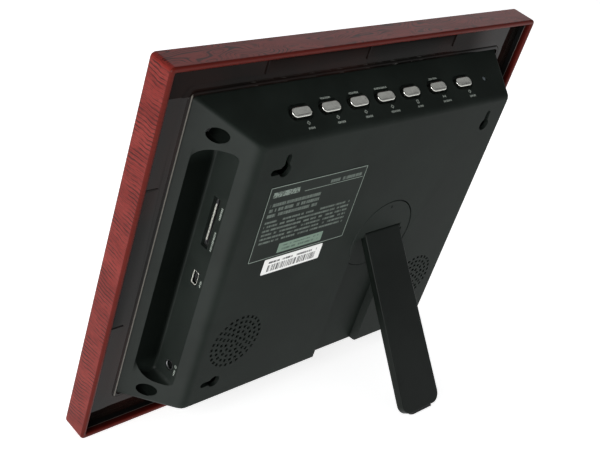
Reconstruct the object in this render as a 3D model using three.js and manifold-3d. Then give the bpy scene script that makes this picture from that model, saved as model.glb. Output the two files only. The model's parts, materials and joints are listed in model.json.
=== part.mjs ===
// Digital photo frame with a wood-look frame, a sloped rear housing, a turntable and a fold-out leg.
// Millimetres. In the frame's own axes +X is the viewer's right from the front, +Y is backward and
// +Z is up along the frame. The whole object then leans back by LEAN and stands on z = 0.
import * as THREE from 'three';
import { mergeGeometries, mergeVertices } from 'three/addons/utils/BufferGeometryUtils.js';
import Module from 'manifold-3d';

const wasm = await Module();
wasm.setup();

// ---------------------------------------------------------------- sizes that can be set

const FRAME_W = 270;          // wood-look frame, across
const FRAME_H = 222;          // wood-look frame, along its height
const FRAME_D = 16;           // wood-look frame, front to back rim
const FRAME_WALL = 3;
const FRAME_CORNER_R = 2.6;
const RIM_R = 1.3;            // rounding of the back rim and the front edge
const LEAN = 18;              // degrees the frame leans back when it stands

const GAP = 0.3;              // between pieces that rest on each other
const LIP_T = 3;              // front lip that holds the glass
const BORDER_W = 22;          // visible wood-look border round the glass
const LIP_BEVEL = 2.4;
const REBATE = 5;             // how far the glass reaches behind the lip
const GLASS_T = 1.8;
const MAT_T = 0.8;
const SCREEN_W = 164;
const SCREEN_H = 123;
const LCD_W = 183;
const LCD_H = 141;
const LCD_T = 5.4;
const CELL_T = 1.3;
const LCD_BEZEL = 3.5;        // steel edge round the LCD cell

const PANEL_BACK = 9.5;       // depth of the glossy panel's back surface
const PANEL_T = 2.5;
const BEAD_W = 2;
const BEAD_H = 1.3;
const STEP_W = 6;             // raised band round the housing
const STEP_H = 0.6;
const RIB_PITCH_X = 71;       // low ribs across the panel's margin
const RIB_PITCH_Z = 84;
const RIB_T = 0.6;

const HOUSING_MARGIN_PORT = 21.5;  // from the frame's edges to the housing's foot
const HOUSING_MARGIN_PLAIN = 19.9;
const HOUSING_MARGIN_Z = 20;
const HOUSING_BACK = 36.8;      // depth of the housing's flat back face
const HOUSING_WALL = 2.4;
const SLOPE_RUN_PORT = 24.5;    // how far each side leans in towards the back face
const SLOPE_RUN_PLAIN = 10.5;
const SLOPE_RUN_TOP = 15;
const SLOPE_RUN_BOTTOM = 0.5;
const EDGE_R_PORT = 9;          // rounding of each edge of the back face
const EDGE_R_TOP = 4;
const EDGE_R_PLAIN = 2.2;
const EDGE_R_BOTTOM = 1.6;
const HOUSING_CORNER_R = 2;

const WELL_R = 4.0;             // screw wells in the port side
const WELL_INSET_X = 10.6;      // from the housing's foot
const WELL_INSET_TOP = 15.4;
const WELL_INSET_BOTTOM = 8;
const WELL_FLOOR = 12.2;
const WELL_WALL = 1.8;

const POCKET_WALL_X = 94.5;       // port pocket: its wall, its ledge and its ends
const POCKET_LEDGE = 14.2;
const POCKET_BOTTOM_Z = 34.6;
const POCKET_TOP_Z = 179.5;
const POCKET_OUTER_X = 109.8;      // where the ledge runs out of the sloping side
const POCKET_END_W = 10;         // round ends on the open side, across and along
const POCKET_END_TOP = 10;
const POCKET_END_BOTTOM = 16;
const POCKET_INNER_R = 2.8;
const POCKET_FILLET = 1.8;       // rounding of the wall into the ledge
const PORT_AXIS = 24;           // depth of the ports' centre line
const CARD_Z = 137.4;
const CARD_SLOT_W = 29;
const CARD_SLOT_T = 4.8;
const USB_Z = 103.6;
const USB_W = 8.4;
const USB_T = 4.6;
const POWER_Z = 45;
const POWER_HOLE_R = 3;

const BUTTON_COUNT = 7;
const BUTTON_FIRST_X = 55.8;
const BUTTON_PITCH = 20.4;
const BUTTON_SPREAD = 22.6;     // pitch of the last three
const BUTTON_SPREAD_COUNT = 2;
const BUTTON_ROW = 1.6;         // row's offset from the middle of the top slope
const CAP_W = 12.8;
const CAP_H = 6;
const CAP_RISE = 1.3;
const CAP_ROUND = 0.88;         // how much of the cap's half height its corners take
const CAP_CLEAR = 0.3;
const DISH_W = 16.2;
const DISH_H = 9.2;
const DISH_DEPTH = 1.1;
const BUTTON_TRAVEL = 0.8;
const LAMP_GAP = 20.2;          // from the last button to the status lamp
const LAMP_R = 1.5;

const KEY_R = 3.7;              // keyholes
const KEY_SLOT_W = 3.4;
const KEY_SLOT_L = 7.6;
const KEY_TOP_Z = 170.6;
const KEY_BOTTOM_Z = 34.6;
const KEY_PORT_X = 68.4;
const KEY_PLAIN_X = -89.4;
const KEY_BOTTOM_X = 70.8;

const GRILLE_X = 71.6;            // grille centres, from the middle of the back face
const GRILLE_Z = 61;
const GRILLE_RINGS = 5;
const GRILLE_PITCH = 3.25;
const GRILLE_SLOT = 1.7;
const SPEAKER_R = 18;
const SPEAKER_DEPTH = 9;

const TABLE_X = -31;            // turntable
const TABLE_Z = 106.5;
const TABLE_R = 23.5;
const TABLE_T = 7.3;
const TABLE_CLEAR = 0.5;
const TABLE_BOSS_R = 5.6;
const CHANNEL_DEPTH = 4.6;
const CHANNEL_EASE = 4.3;       // gentle side of the channel
const CHANNEL_DRAFT = 0.8;      // steep side of the channel

const LEG_TOP_W = 28.5;
const LEG_FOOT_W = 31;
const LEG_T = 4.8;
const LEG_FOOT_R = 5.5;
const LEG_EDGE = 0.5;
const LEG_SIDE_CLEAR = 0.8;
const LEG_UNDER_CLEAR = 0.5;
const LEG_OPEN = 41.5;          // degrees the open leg stands off the back face
const HINGE_RISE = 2;           // hinge line above the turntable's centre
const PIN_R = 0.9;
const PIN_CLEAR = 0.08;
const PIN_GRIP = 4.5;           // pin held in the disc at each end
const PAD_T = 0.8;
const PAD_W = 17;
const PAD_DEPTH = 3.6;

const LABEL_W = 69;
const LABEL_H = 46;
const LABEL_X = 39.4;
const LABEL_Z = 138.5;
const STICKER_W = 42;
const STICKER_H = 10;
const STICKER_X = 40.5;
const STICKER_Z = 109.6;
const PRINT_T = 0.15;
const PRINT_PROUD = 0.08;

const CHASSIS_T = 1;
const BOARD_T = 1.6;
const BOARD_DEPTH = 18;         // depth of the main board's front face
const SCREW_HEAD_R = 2.7;
const SCREW_HEAD_H = 1.5;
const SCREW_R = 1.4;
const SCREW_CLEAR = 0.35;
const POST_R = 3;

// ---------------------------------------------------------------- sizes worked out

const lean = THREE.MathUtils.degToRad(LEAN);
const legOpen = THREE.MathUtils.degToRad(LEG_OPEN);
const midZ = FRAME_H / 2;
const foot = {
  port: FRAME_W / 2 - HOUSING_MARGIN_PORT,
  plain: -FRAME_W / 2 + HOUSING_MARGIN_PLAIN,
  top: FRAME_H - HOUSING_MARGIN_Z,
  bottom: HOUSING_MARGIN_Z,
};
const back = {
  port: foot.port - SLOPE_RUN_PORT,
  plain: foot.plain + SLOPE_RUN_PLAIN,
  top: foot.top - SLOPE_RUN_TOP,
  bottom: foot.bottom + SLOPE_RUN_BOTTOM,
};
const edgeR = { port: EDGE_R_PORT, plain: EDGE_R_PLAIN, top: EDGE_R_TOP, bottom: EDGE_R_BOTTOM };
const innerCornerR = Math.max(FRAME_CORNER_R - FRAME_WALL + 0.5, 0.3);
const housingFront = PANEL_BACK + GAP;
const housingDepth = HOUSING_BACK - PANEL_BACK;
const windowW = FRAME_W - 2 * BORDER_W;
const windowH = FRAME_H - 2 * BORDER_W;
const glassW = windowW + 2 * REBATE;
const glassH = windowH + 2 * REBATE;
const glassFront = LIP_T + GAP;
const matFront = glassFront + GLASS_T + GAP;
const lcdFront = matFront + MAT_T + GAP;
const lcdBack = lcdFront + LCD_T;
const panelFront = PANEL_BACK - PANEL_T;
const chassisFront = lcdBack + GAP;
const chassisBack = chassisFront + CHASSIS_T;
const boardBack = BOARD_DEPTH + BOARD_T;
const slope = Math.atan2(SLOPE_RUN_TOP, housingDepth);
const legCentre = HOUSING_BACK - CHANNEL_DEPTH + LEG_UNDER_CLEAR + LEG_T / 2;
const hingeZ = TABLE_Z + HINGE_RISE;
const channelHalf = LEG_FOOT_W / 2 + LEG_SIDE_CLEAR;
const backMiddle = (back.port + back.plain) / 2;
const wells = [
  [foot.port - WELL_INSET_X, foot.top - WELL_INSET_TOP],
  [foot.port - WELL_INSET_X, foot.bottom + WELL_INSET_BOTTOM],
];

// The ground touches the back rim's rounding and the inner corner of the leg's rubber pad.
const ground = RIM_R * Math.cos(lean) - (FRAME_D - RIM_R) * Math.sin(lean) - RIM_R;
const hingeHeight = hingeZ * Math.cos(lean) - legCentre * Math.sin(lean);
const padInner = -PAD_DEPTH / 2;
const legTilt = legOpen - lean;
const legReach = (hingeHeight - ground + padInner * Math.sin(legTilt)) / Math.cos(legTilt);
const legLength = legReach - PAD_T - GAP;

// ---------------------------------------------------------------- shape helpers

function solid(geometry) {
  const bare = geometry.clone();
  bare.deleteAttribute('normal');
  bare.deleteAttribute('uv');
  const merged = mergeVertices(bare, 1e-5);
  const mesh = new wasm.Mesh({
    numProp: 3,
    vertProperties: new Float32Array(merged.attributes.position.array),
    triVerts: new Uint32Array(merged.index.array),
  });
  return new wasm.Manifold(mesh);
}

function geometryOf(manifold) {
  const mesh = manifold.getMesh();
  const geometry = new THREE.BufferGeometry();
  geometry.setAttribute('position', new THREE.BufferAttribute(new Float32Array(mesh.vertProperties), 3));
  geometry.setIndex(new THREE.BufferAttribute(new Uint32Array(mesh.triVerts), 1));
  geometry.computeVertexNormals();
  return geometry;
}

function box(x0, x1, y0, y1, z0, z1) {
  const geometry = new THREE.BoxGeometry(x1 - x0, y1 - y0, z1 - z0);
  return geometry.translate((x0 + x1) / 2, (y0 + y1) / 2, (z0 + z1) / 2);
}

// A cylinder along Y, centred on (x, z).
function post(x, z, radius, y0, y1, sides = 20) {
  const geometry = new THREE.CylinderGeometry(radius, radius, y1 - y0, sides);
  return geometry.translate(x, (y0 + y1) / 2, z);
}

// A cylinder along X, centred on (y, z).
function rod(y, z, radius, x0, x1, sides = 20) {
  const geometry = new THREE.CylinderGeometry(radius, radius, x1 - x0, sides);
  return geometry.rotateZ(Math.PI / 2).translate((x0 + x1) / 2, y, z);
}

function roundedOutline(x0, x1, z0, z1, radius, steps = 5) {
  const corners = [[x1 - radius, z1 - radius, 0], [x0 + radius, z1 - radius, 1],
    [x0 + radius, z0 + radius, 2], [x1 - radius, z0 + radius, 3]];
  const points = [];
  for (const [cx, cz, quarter] of corners) {
    for (let i = 0; i <= steps; i++) {
      const angle = (quarter + i / steps) * Math.PI / 2;
      points.push([cx + radius * Math.cos(angle), cz + radius * Math.sin(angle)]);
    }
  }
  return points;
}

// A closed solid through outlines of equal point count, each at its own depth.
function loft(levels) {
  const count = levels[0].points.length;
  const positions = [];
  for (const level of levels) {
    for (const [x, z] of level.points) {
      positions.push(x, level.y, z);
    }
  }
  const index = [];
  for (let k = 0; k + 1 < levels.length; k++) {
    for (let i = 0; i < count; i++) {
      const a = k * count + i;
      const b = k * count + (i + 1) % count;
      index.push(a, a + count, b, b, a + count, b + count);
    }
  }
  const last = (levels.length - 1) * count;
  for (let i = 1; i + 1 < count; i++) {
    index.push(0, i, i + 1);
    index.push(last, last + i + 1, last + i);
  }
  const geometry = new THREE.BufferGeometry();
  geometry.setAttribute('position', new THREE.Float32BufferAttribute(positions, 3));
  geometry.setIndex(index);
  return geometry;
}

function slab(x0, x1, z0, z1, radius, y0, y1, steps = 5) {
  const points = roundedOutline(x0, x1, z0, z1, radius, steps);
  return loft([{ y: y0, points }, { y: y1, points }]);
}

function centredSlab(width, height, radius, y0, y1, cx = 0, cz = midZ) {
  return slab(cx - width / 2, cx + width / 2, cz - height / 2, cz + height / 2, radius, y0, y1);
}

// A shape drawn in x and z, pushed along Y from y0 to y1.
function pushed(points, y0, y1) {
  const shape = new THREE.Shape(points.map(([x, z]) => new THREE.Vector2(x, z)));
  const geometry = new THREE.ExtrudeGeometry(shape, { depth: y1 - y0, bevelEnabled: false });
  return geometry.rotateX(Math.PI / 2).translate(0, y1, 0);
}

function lathe(profile, sides = 32) {
  const points = profile.map(([r, y]) => new THREE.Vector2(r, y));
  return new THREE.LatheGeometry(points, sides);
}

const object = new THREE.Group();
const frameGroup = new THREE.Group();
const slopeGroup = new THREE.Group();
const legGroup = new THREE.Group();
object.add(frameGroup);
frameGroup.add(slopeGroup, legGroup);

const finishes = {
  wood: { color: 0x7a2a2c, roughness: 0.3, metalness: 0 },
  glossBlack: { color: 0x1a1c1c, roughness: 0.1, metalness: 0 },
  mattBlack: { color: 0x2a2e2c, roughness: 0.6, metalness: 0 },
  legBlack: { color: 0x1c201e, roughness: 0.5, metalness: 0 },
  chrome: { color: 0xc8c8c4, roughness: 0.2, metalness: 1 },
  steel: { color: 0x9a9c9e, roughness: 0.4, metalness: 1 },
  glass: { color: 0xdde6e6, roughness: 0.05, metalness: 0 },
  mat: { color: 0xe9e4d8, roughness: 0.9, metalness: 0 },
  screen: { color: 0x101216, roughness: 0.25, metalness: 0 },
  board: { color: 0x1f5a34, roughness: 0.5, metalness: 0 },
  chip: { color: 0x16171a, roughness: 0.4, metalness: 0 },
  foam: { color: 0x202020, roughness: 1, metalness: 0 },
  lamp: { color: 0x8fb8d8, roughness: 0.2, metalness: 0 },
  print: { color: 0x2b302e, roughness: 0.6, metalness: 0 },
  paper: { color: 0xf2f2ee, roughness: 0.8, metalness: 0 },
  rubber: { color: 0x151515, roughness: 0.95, metalness: 0 },
  cable: { color: 0xc9a24a, roughness: 0.5, metalness: 0 },
};

function piece(name, geometry, finish, parent = frameGroup) {
  const material = new THREE.MeshStandardMaterial(finishes[finish]);
  const mesh = new THREE.Mesh(geometry, material);
  mesh.name = name;
  parent.add(mesh);
  return mesh;
}

// ---------------------------------------------------------------- wood-look frame, glass and mat

function frameLevel(y, inset) {
  const half = FRAME_W / 2 - inset;
  return { y, points: roundedOutline(-half, half, inset, FRAME_H - inset, FRAME_CORNER_R - inset) };
}

function rimSteps(radius, steps) {
  return Array.from({ length: steps + 1 }, (_, i) => {
    const angle = (i / steps) * Math.PI / 2;
    return { along: radius * (1 - Math.cos(angle)), inset: radius * (1 - Math.sin(angle)) };
  });
}

function cavityLevel(y, inset) {
  const half = FRAME_W / 2 - FRAME_WALL + inset;
  const low = FRAME_WALL - inset;
  const radius = innerCornerR + inset;
  return { y, points: roundedOutline(-half, half, low, FRAME_H - low, radius) };
}

function woodFrame() {
  const front = rimSteps(RIM_R, 3);
  const levels = [
    ...front.map((step) => frameLevel(step.along, step.inset)),
    ...front.map((step) => frameLevel(FRAME_D - step.along, step.inset)).reverse(),
  ];
  const flare = rimSteps(RIM_R, 3).map((step) => cavityLevel(FRAME_D - step.along, step.inset)).reverse();
  const cavity = loft([cavityLevel(panelFront - GAP, 0), ...flare, cavityLevel(FRAME_D + 1, RIM_R)]);
  const window = centredSlab(windowW, windowH, 1.5, -1, LIP_T + 1);
  const seat = centredSlab(glassW + 2 * GAP, glassH + 2 * GAP, 1, LIP_T, FRAME_D);
  const wide = roundedOutline(-windowW / 2 - LIP_BEVEL - 1, windowW / 2 + LIP_BEVEL + 1,
    BORDER_W - LIP_BEVEL - 1, FRAME_H - BORDER_W + LIP_BEVEL + 1, 1.5);
  const narrow = roundedOutline(-windowW / 2, windowW / 2, BORDER_W, FRAME_H - BORDER_W, 1.5);
  const bevel = loft([{ y: -1, points: wide }, { y: LIP_BEVEL, points: narrow }]);
  const body = solid(loft(levels)).subtract(solid(cavity)).subtract(solid(window));
  return geometryOf(body.subtract(solid(seat)).subtract(solid(bevel)));
}

function matBorder() {
  const sheet = solid(centredSlab(glassW, glassH, 1, matFront, matFront + MAT_T));
  const window = solid(centredSlab(SCREEN_W, SCREEN_H, 0.5, matFront - 1, matFront + MAT_T + 1));
  return geometryOf(sheet.subtract(window));
}

piece('wood_frame', woodFrame(), 'wood');
piece('front_glass', centredSlab(glassW, glassH, 1, glassFront, glassFront + GLASS_T), 'glass');
piece('mat_border', matBorder(), 'mat');

// ---------------------------------------------------------------- LCD, chassis and boards

function lcdFrame() {
  const tray = solid(centredSlab(LCD_W, LCD_H, 1.5, lcdFront, lcdBack));
  const seatW = LCD_W - 2 * LCD_BEZEL;
  const seatH = LCD_H - 2 * LCD_BEZEL;
  const seat = solid(centredSlab(seatW, seatH, 0.8, lcdFront - 1, lcdFront + CELL_T + 2 * GAP));
  return geometryOf(tray.subtract(seat));
}

const cellW = LCD_W - 2 * LCD_BEZEL - 2 * GAP;
const cellH = LCD_H - 2 * LCD_BEZEL - 2 * GAP;
piece('lcd_frame', lcdFrame(), 'steel');
piece('lcd_cell', centredSlab(cellW, cellH, 0.6, lcdFront + GAP, lcdFront + GAP + CELL_T), 'screen');

function screwGeometry(x, z, headFront, tip, headR = SCREW_HEAD_R, shankR = SCREW_R) {
  const head = solid(lathe([[0, 0], [headR, 0], [headR, SCREW_HEAD_H * 0.55],
    [headR * 0.72, SCREW_HEAD_H], [0, SCREW_HEAD_H]], 12));
  const slotHalf = headR * 0.62;
  const slotT = headR * 0.13;
  const deep = SCREW_HEAD_H * 0.45;
  const across = solid(box(-slotHalf, slotHalf, deep, SCREW_HEAD_H + 1, -slotT, slotT));
  const along = solid(box(-slotT, slotT, deep, SCREW_HEAD_H + 1, -slotHalf, slotHalf));
  const shank = solid(post(0, 0, shankR, tip - headFront, 0.4, 8));
  const screw = head.subtract(across).subtract(along).add(shank);
  return geometryOf(screw).translate(x, headFront, z);
}

const postInsetZ = 13.5;
const postX = 70;
const lcdPosts = [-1, 1].flatMap((side) => [
  [side * postX, foot.bottom + postInsetZ],
  [side * postX, foot.top - postInsetZ],
]);
const boardX0 = -45;
const boardX1 = POCKET_WALL_X - HOUSING_WALL - 0.6;
const boardZ0 = 37;
const boardZ1 = 166;
const boardEdge = 4;
const boardPosts = [[boardX0 + boardEdge, boardZ0 + boardEdge], [boardX0 + boardEdge, boardZ1 - boardEdge],
  [boardX1 - 2 * boardEdge, boardZ0 + 40], [boardX1 - boardEdge, boardZ1 - boardEdge]];
const cableHalf = 13;
const cableZ = 72;
const cableT = 0.35;
const cableRun = 22;

function chassisPlate() {
  const halfX = LCD_W / 2;
  let plate = solid(slab(-halfX - 6, halfX, foot.bottom + 8, foot.top - 9, 4, chassisFront, chassisBack));
  for (const [x, z] of boardPosts) {
    plate = plate.add(solid(post(x, z, POST_R, chassisFront + 0.2, BOARD_DEPTH - GAP, 10)));
    plate = plate.subtract(solid(post(x, z, SCREW_R + SCREW_CLEAR, chassisFront - 1, BOARD_DEPTH + 1, 12)));
  }
  for (const [x, z] of lcdPosts) {
    plate = plate.subtract(solid(post(x, z, SCREW_R + SCREW_CLEAR, chassisFront - 1, chassisBack + 1, 12)));
  }
  const slot = box(-cableHalf - 1, cableHalf + 1, chassisFront - 1, chassisBack + 1,
    cableZ - 1.5, cableZ + 2);
  return geometryOf(plate.subtract(solid(slot)));
}

function mainBoard() {
  let board = solid(slab(boardX0, boardX1, boardZ0, boardZ1, 2, BOARD_DEPTH, boardBack));
  for (const [x, z] of boardPosts) {
    board = board.subtract(solid(post(x, z, SCREW_R + SCREW_CLEAR, BOARD_DEPTH - 1, boardBack + 1, 12)));
  }
  return geometryOf(board);
}

function flatCable() {
  const lowY = lcdBack + GAP;
  const highY = BOARD_DEPTH - GAP;
  const outline = [[lowY, cableZ], [lowY, cableZ + cableT], [highY - cableT, cableZ + cableT],
    [highY - cableT, cableZ + cableRun], [highY, cableZ + cableRun], [highY, cableZ]];
  const shape = new THREE.Shape(outline.map(([y, z]) => new THREE.Vector2(y, z)));
  const geometry = new THREE.ExtrudeGeometry(shape, { depth: 2 * cableHalf, bevelEnabled: false });
  const turn = new THREE.Matrix4().makeBasis(new THREE.Vector3(0, 1, 0), new THREE.Vector3(0, 0, 1),
    new THREE.Vector3(1, 0, 0));
  return geometry.applyMatrix4(turn).translate(-cableHalf, 0, 0);
}

function chip(x, z, w, h, t) {
  return slab(x - w / 2, x + w / 2, z - h / 2, z + h / 2, 0.5, boardBack + GAP, boardBack + GAP + t, 1);
}

piece('chassis_plate', chassisPlate(), 'steel');
lcdPosts.forEach(([x, z], i) => {
  piece(`chassis_screw_${i + 1}`, screwGeometry(x, z, chassisBack + GAP, panelFront + 0.5), 'steel');
});
piece('main_board', mainBoard(), 'board');
boardPosts.forEach(([x, z], i) => {
  piece(`board_screw_${i + 1}`, screwGeometry(x, z, boardBack + GAP, chassisBack + 0.6, 2.3), 'steel');
});
piece('processor', chip(22, 96, 22, 22, 1.4), 'chip');
piece('memory_chip', chip(22, 126, 18, 10, 1.1), 'chip');
piece('flat_cable', flatCable(), 'cable');

const inverterX = -88;
const inverterDepth = chassisBack + 1.6;
piece('inverter_board', slab(inverterX - 7, inverterX + 7, 62, 150, 1, inverterDepth, inverterDepth + 1.2),
  'board');
piece('inverter_coil', slab(inverterX - 5, inverterX + 5, 98, 122, 1, inverterDepth + 1.2 + GAP,
  inverterDepth + 7), 'chip');

// ---------------------------------------------------------------- glossy back panel

function backPanel() {
  const half = FRAME_W / 2 - FRAME_WALL - GAP;
  const low = FRAME_WALL + GAP;
  const radius = innerCornerR;
  let panel = solid(slab(-half, half, low, FRAME_H - low, radius, panelFront, PANEL_BACK));
  const outwards = (by, y0, y1) => solid(slab(foot.plain - by, foot.port + by, foot.bottom - by,
    foot.top + by, HOUSING_CORNER_R + by, y0, y1));
  const beadGap = 0.6;
  const beadIn = beadGap;
  const beadOut = beadGap + BEAD_W;
  const beadLow = PANEL_BACK - 0.5;
  const bead = loft([
    [beadOut, beadLow], [beadOut, PANEL_BACK + BEAD_H * 0.5],
    [beadOut - BEAD_W * 0.18, PANEL_BACK + BEAD_H * 0.86],
    [beadOut - BEAD_W * 0.5, PANEL_BACK + BEAD_H],
  ].map(([by, y]) => ({ y, points: roundedOutline(foot.plain - by, foot.port + by, foot.bottom - by,
    foot.top + by, HOUSING_CORNER_R + by) })));
  const stepTop = PANEL_BACK + STEP_H;
  const step = loft([[STEP_W + STEP_H, beadLow], [STEP_W + STEP_H, PANEL_BACK], [STEP_W, stepTop]].map(
    ([by, y]) => ({ y, points: roundedOutline(foot.plain - by, foot.port + by, foot.bottom - by,
      foot.top + by, HOUSING_CORNER_R + by) })));
  const ribTop = PANEL_BACK + STEP_H;
  for (const i of [-1, 0, 1]) {
    const x = i * RIB_PITCH_X;
    panel = panel.add(solid(box(x - RIB_T / 2, x + RIB_T / 2, beadLow, ribTop, low, FRAME_H - low)));
  }
  for (const i of [-0.5, 0.5]) {
    const z = midZ + i * RIB_PITCH_Z;
    panel = panel.add(solid(box(-half, half, beadLow, ribTop, z - RIB_T / 2, z + RIB_T / 2)));
  }
  panel = panel.add(solid(step)).add(solid(bead));
  panel = panel.subtract(outwards(beadIn, PANEL_BACK, HOUSING_BACK));
  for (const [x, z] of lcdPosts) {
    panel = panel.add(solid(post(x, z, POST_R, PANEL_BACK - 0.5, chassisFront - GAP, 16)));
    panel = panel.subtract(solid(post(x, z, SCREW_R + SCREW_CLEAR, panelFront - 1, chassisFront + 1, 12)));
  }
  for (const [x, z] of wells) {
    panel = panel.subtract(solid(post(x, z, SCREW_R + SCREW_CLEAR, panelFront - 1, PANEL_BACK + 1, 12)));
  }
  const cutout = centredSlab(LCD_W + 2, LCD_H + 2, 2, panelFront - 1, PANEL_BACK + 3);
  return geometryOf(panel.subtract(solid(cutout)));
}

piece('back_panel', backPanel(), 'glossBlack');

// ---------------------------------------------------------------- rear housing

// Where a side of the housing lies at a depth, with its rounded edge to the back face.
function sideAt(key, sign, depth, inset) {
  const run = Math.abs(back[key] - foot[key]);
  const tilt = Math.atan2(run, housingDepth);
  const end = HOUSING_BACK - inset;
  const radius = Math.max(edgeR[key] - inset, 0.6);
  const atEnd = back[key] - sign * inset / Math.cos(tilt) + sign * inset * Math.tan(tilt);
  const centre = atEnd - sign * radius * (1 - Math.sin(tilt)) / Math.cos(tilt);
  const above = depth - (end - radius);
  if (above > radius * Math.sin(tilt)) {
    return centre + sign * Math.sqrt(Math.max(radius * radius - above * above, 0));
  }
  return atEnd + sign * (end - depth) * Math.tan(tilt);
}

function housingLevel(depth, inset) {
  const x1 = sideAt('port', 1, depth, inset);
  const x0 = sideAt('plain', -1, depth, inset);
  const z1 = sideAt('top', 1, depth, inset);
  const z0 = sideAt('bottom', -1, depth, inset);
  const radius = Math.max(HOUSING_CORNER_R - inset, 1);
  return { y: depth, points: roundedOutline(x0, x1, z0, z1, radius) };
}

function housingLoft(inset, front) {
  const end = HOUSING_BACK - inset;
  const levels = [housingLevel(front, inset)];
  for (const before of [3, 2, 1.2, 0.55, 0.15, 0]) {
    levels.push(housingLevel(end - before, inset));
  }
  return solid(loft(levels));
}

// The leg's channel: steep on the plain side, gentle on the port side. grow widens it for its wall.
function channelSolid(grow, bottomZ, topZ) {
  const floor = HOUSING_BACK - CHANNEL_DEPTH - grow;
  const lowHalf = channelHalf + grow;
  const over = 1;
  const ease = CHANNEL_EASE / CHANNEL_DEPTH;
  const draft = CHANNEL_DRAFT / CHANNEL_DEPTH;
  const rise = HOUSING_BACK + over - floor;
  const outline = [[TABLE_X - lowHalf, floor], [TABLE_X + lowHalf, floor],
    [TABLE_X + lowHalf + rise * ease, floor + rise], [TABLE_X - lowHalf - rise * draft, floor + rise]];
  const shape = new THREE.Shape(outline.map(([x, y]) => new THREE.Vector2(x, y)));
  const geometry = new THREE.ExtrudeGeometry(shape, { depth: topZ - bottomZ, bevelEnabled: false });
  return solid(geometry.translate(0, 0, bottomZ));
}

// The port pocket's outline: tight corners by its wall, broad round ends on its open side.
function pocketOutline(grow) {
  const x1 = POCKET_OUTER_X + Math.max(grow, 0);
  const z0 = POCKET_BOTTOM_Z - grow;
  const z1 = POCKET_TOP_Z + grow;
  const endW = POCKET_END_W + grow;
  const top = POCKET_END_TOP + grow;
  const bottom = POCKET_END_BOTTOM + grow;
  const inner = Math.max(POCKET_INNER_R + grow, 0.2);
  const innerX = POCKET_WALL_X - grow + inner;
  const corners = [[x1 - endW, z1 - top, endW, top, 8], [innerX, z1 - inner, inner, inner, 4],
    [innerX, z0 + inner, inner, inner, 4], [x1 - endW, z0 + bottom, endW, bottom, 8]];
  return corners.flatMap(([cx, cz, rx, rz, steps], quarter) => Array.from({ length: steps }, (_, i) => {
    const angle = (quarter + i / (steps - 1)) * Math.PI / 2;
    return [cx + rx * Math.cos(angle), cz + rz * Math.sin(angle)];
  }));
}

// The pocket's space: its ledge rounds up into the wall and the ends.
function pocketSolid(grow) {
  const levels = [0, 1, 2, 3].map((i) => {
    const turn = (i / 3) * Math.PI / 2;
    return {
      y: POCKET_LEDGE - grow + POCKET_FILLET * (1 - Math.cos(turn)),
      points: pocketOutline(grow - POCKET_FILLET * (1 - Math.sin(turn))),
    };
  });
  return solid(loft([...levels, { y: HOUSING_BACK + 1, points: pocketOutline(grow) }]));
}

const slopeMiddle = new THREE.Vector3(0, (PANEL_BACK + HOUSING_BACK) / 2, (foot.top + back.top) / 2);
const onSlope = new THREE.Matrix4().makeRotationX(-slope).setPosition(slopeMiddle);
slopeGroup.applyMatrix4(onSlope);

// In the slope's own axes x is across, y is towards the back face and z is out of the slope.
function pill(w, h, radius, x, y, z0, z1, steps = 5) {
  const points = roundedOutline(x - w / 2, x + w / 2, y - h / 2, y + h / 2, radius, steps);
  return pillLoft([[points, z0], [points, z1]]);
}

function pillLoft(levels) {
  const turned = levels.map(([points, z]) => ({ y: z, points }));
  return loft(turned).applyMatrix4(new THREE.Matrix4().set(1, 0, 0, 0, 0, 0, -1, 0, 0, 1, 0, 0, 0, 0, 0, 1))
    .applyMatrix4(new THREE.Matrix4().makeScale(1, -1, 1));
}

const evenGaps = BUTTON_COUNT - 1 - BUTTON_SPREAD_COUNT;
const buttonXs = Array.from({ length: BUTTON_COUNT }, (_, i) => BUTTON_FIRST_X
  - Math.min(i, evenGaps) * BUTTON_PITCH - Math.max(i - evenGaps, 0) * BUTTON_SPREAD);
const lampX = buttonXs[BUTTON_COUNT - 1] - LAMP_GAP;

function flipFaces(geometry) {
  const index = geometry.index.array;
  for (let i = 0; i < index.length; i += 3) {
    [index[i], index[i + 1]] = [index[i + 1], index[i]];
  }
  return geometry;
}

function onTop(geometry) {
  return solid(geometry.applyMatrix4(onSlope));
}

function slopePill(w, h, radius, x, y, z0, z1, steps) {
  return flipFaces(pill(w, h, radius, x, y, z0, z1, steps));
}

function slopeRod(x, y, radius, z0, z1, sides = 16) {
  const geometry = new THREE.CylinderGeometry(radius, radius, z1 - z0, sides);
  return geometry.rotateX(Math.PI / 2).translate(x, y, (z0 + z1) / 2);
}

const boardLow = -9.2;
const boardHigh = -8;
const boardMiddle = 2.4;
const boardHalf = 5.4;
const slopeBosses = [0, BUTTON_COUNT - 2].map((i) => (buttonXs[i] + buttonXs[i + 1]) / 2);
const bossR = 2.2;

function cutGrille(housing, cx) {
  const cutters = [];
  const y0 = HOUSING_BACK - HOUSING_WALL - 1;
  const y1 = HOUSING_BACK + 1;
  const half = GRILLE_SLOT / 2;
  cutters.push(box(-half, half, y0, y1, -half, half));
  for (let ring = 1; ring <= GRILLE_RINGS; ring++) {
    const radius = ring * GRILLE_PITCH;
    const count = Math.round(2 * Math.PI * radius / (GRILLE_SLOT * 2.2));
    for (let i = 0; i < count; i++) {
      const slot = box(-half * 1.15, half * 1.15, y0, y1, radius - half, radius + half);
      cutters.push(slot.rotateY((i / count) * 2 * Math.PI));
    }
  }
  const tool = mergeGeometries(cutters).translate(cx, 0, GRILLE_Z);
  return housing.subtract(solid(tool));
}

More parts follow.
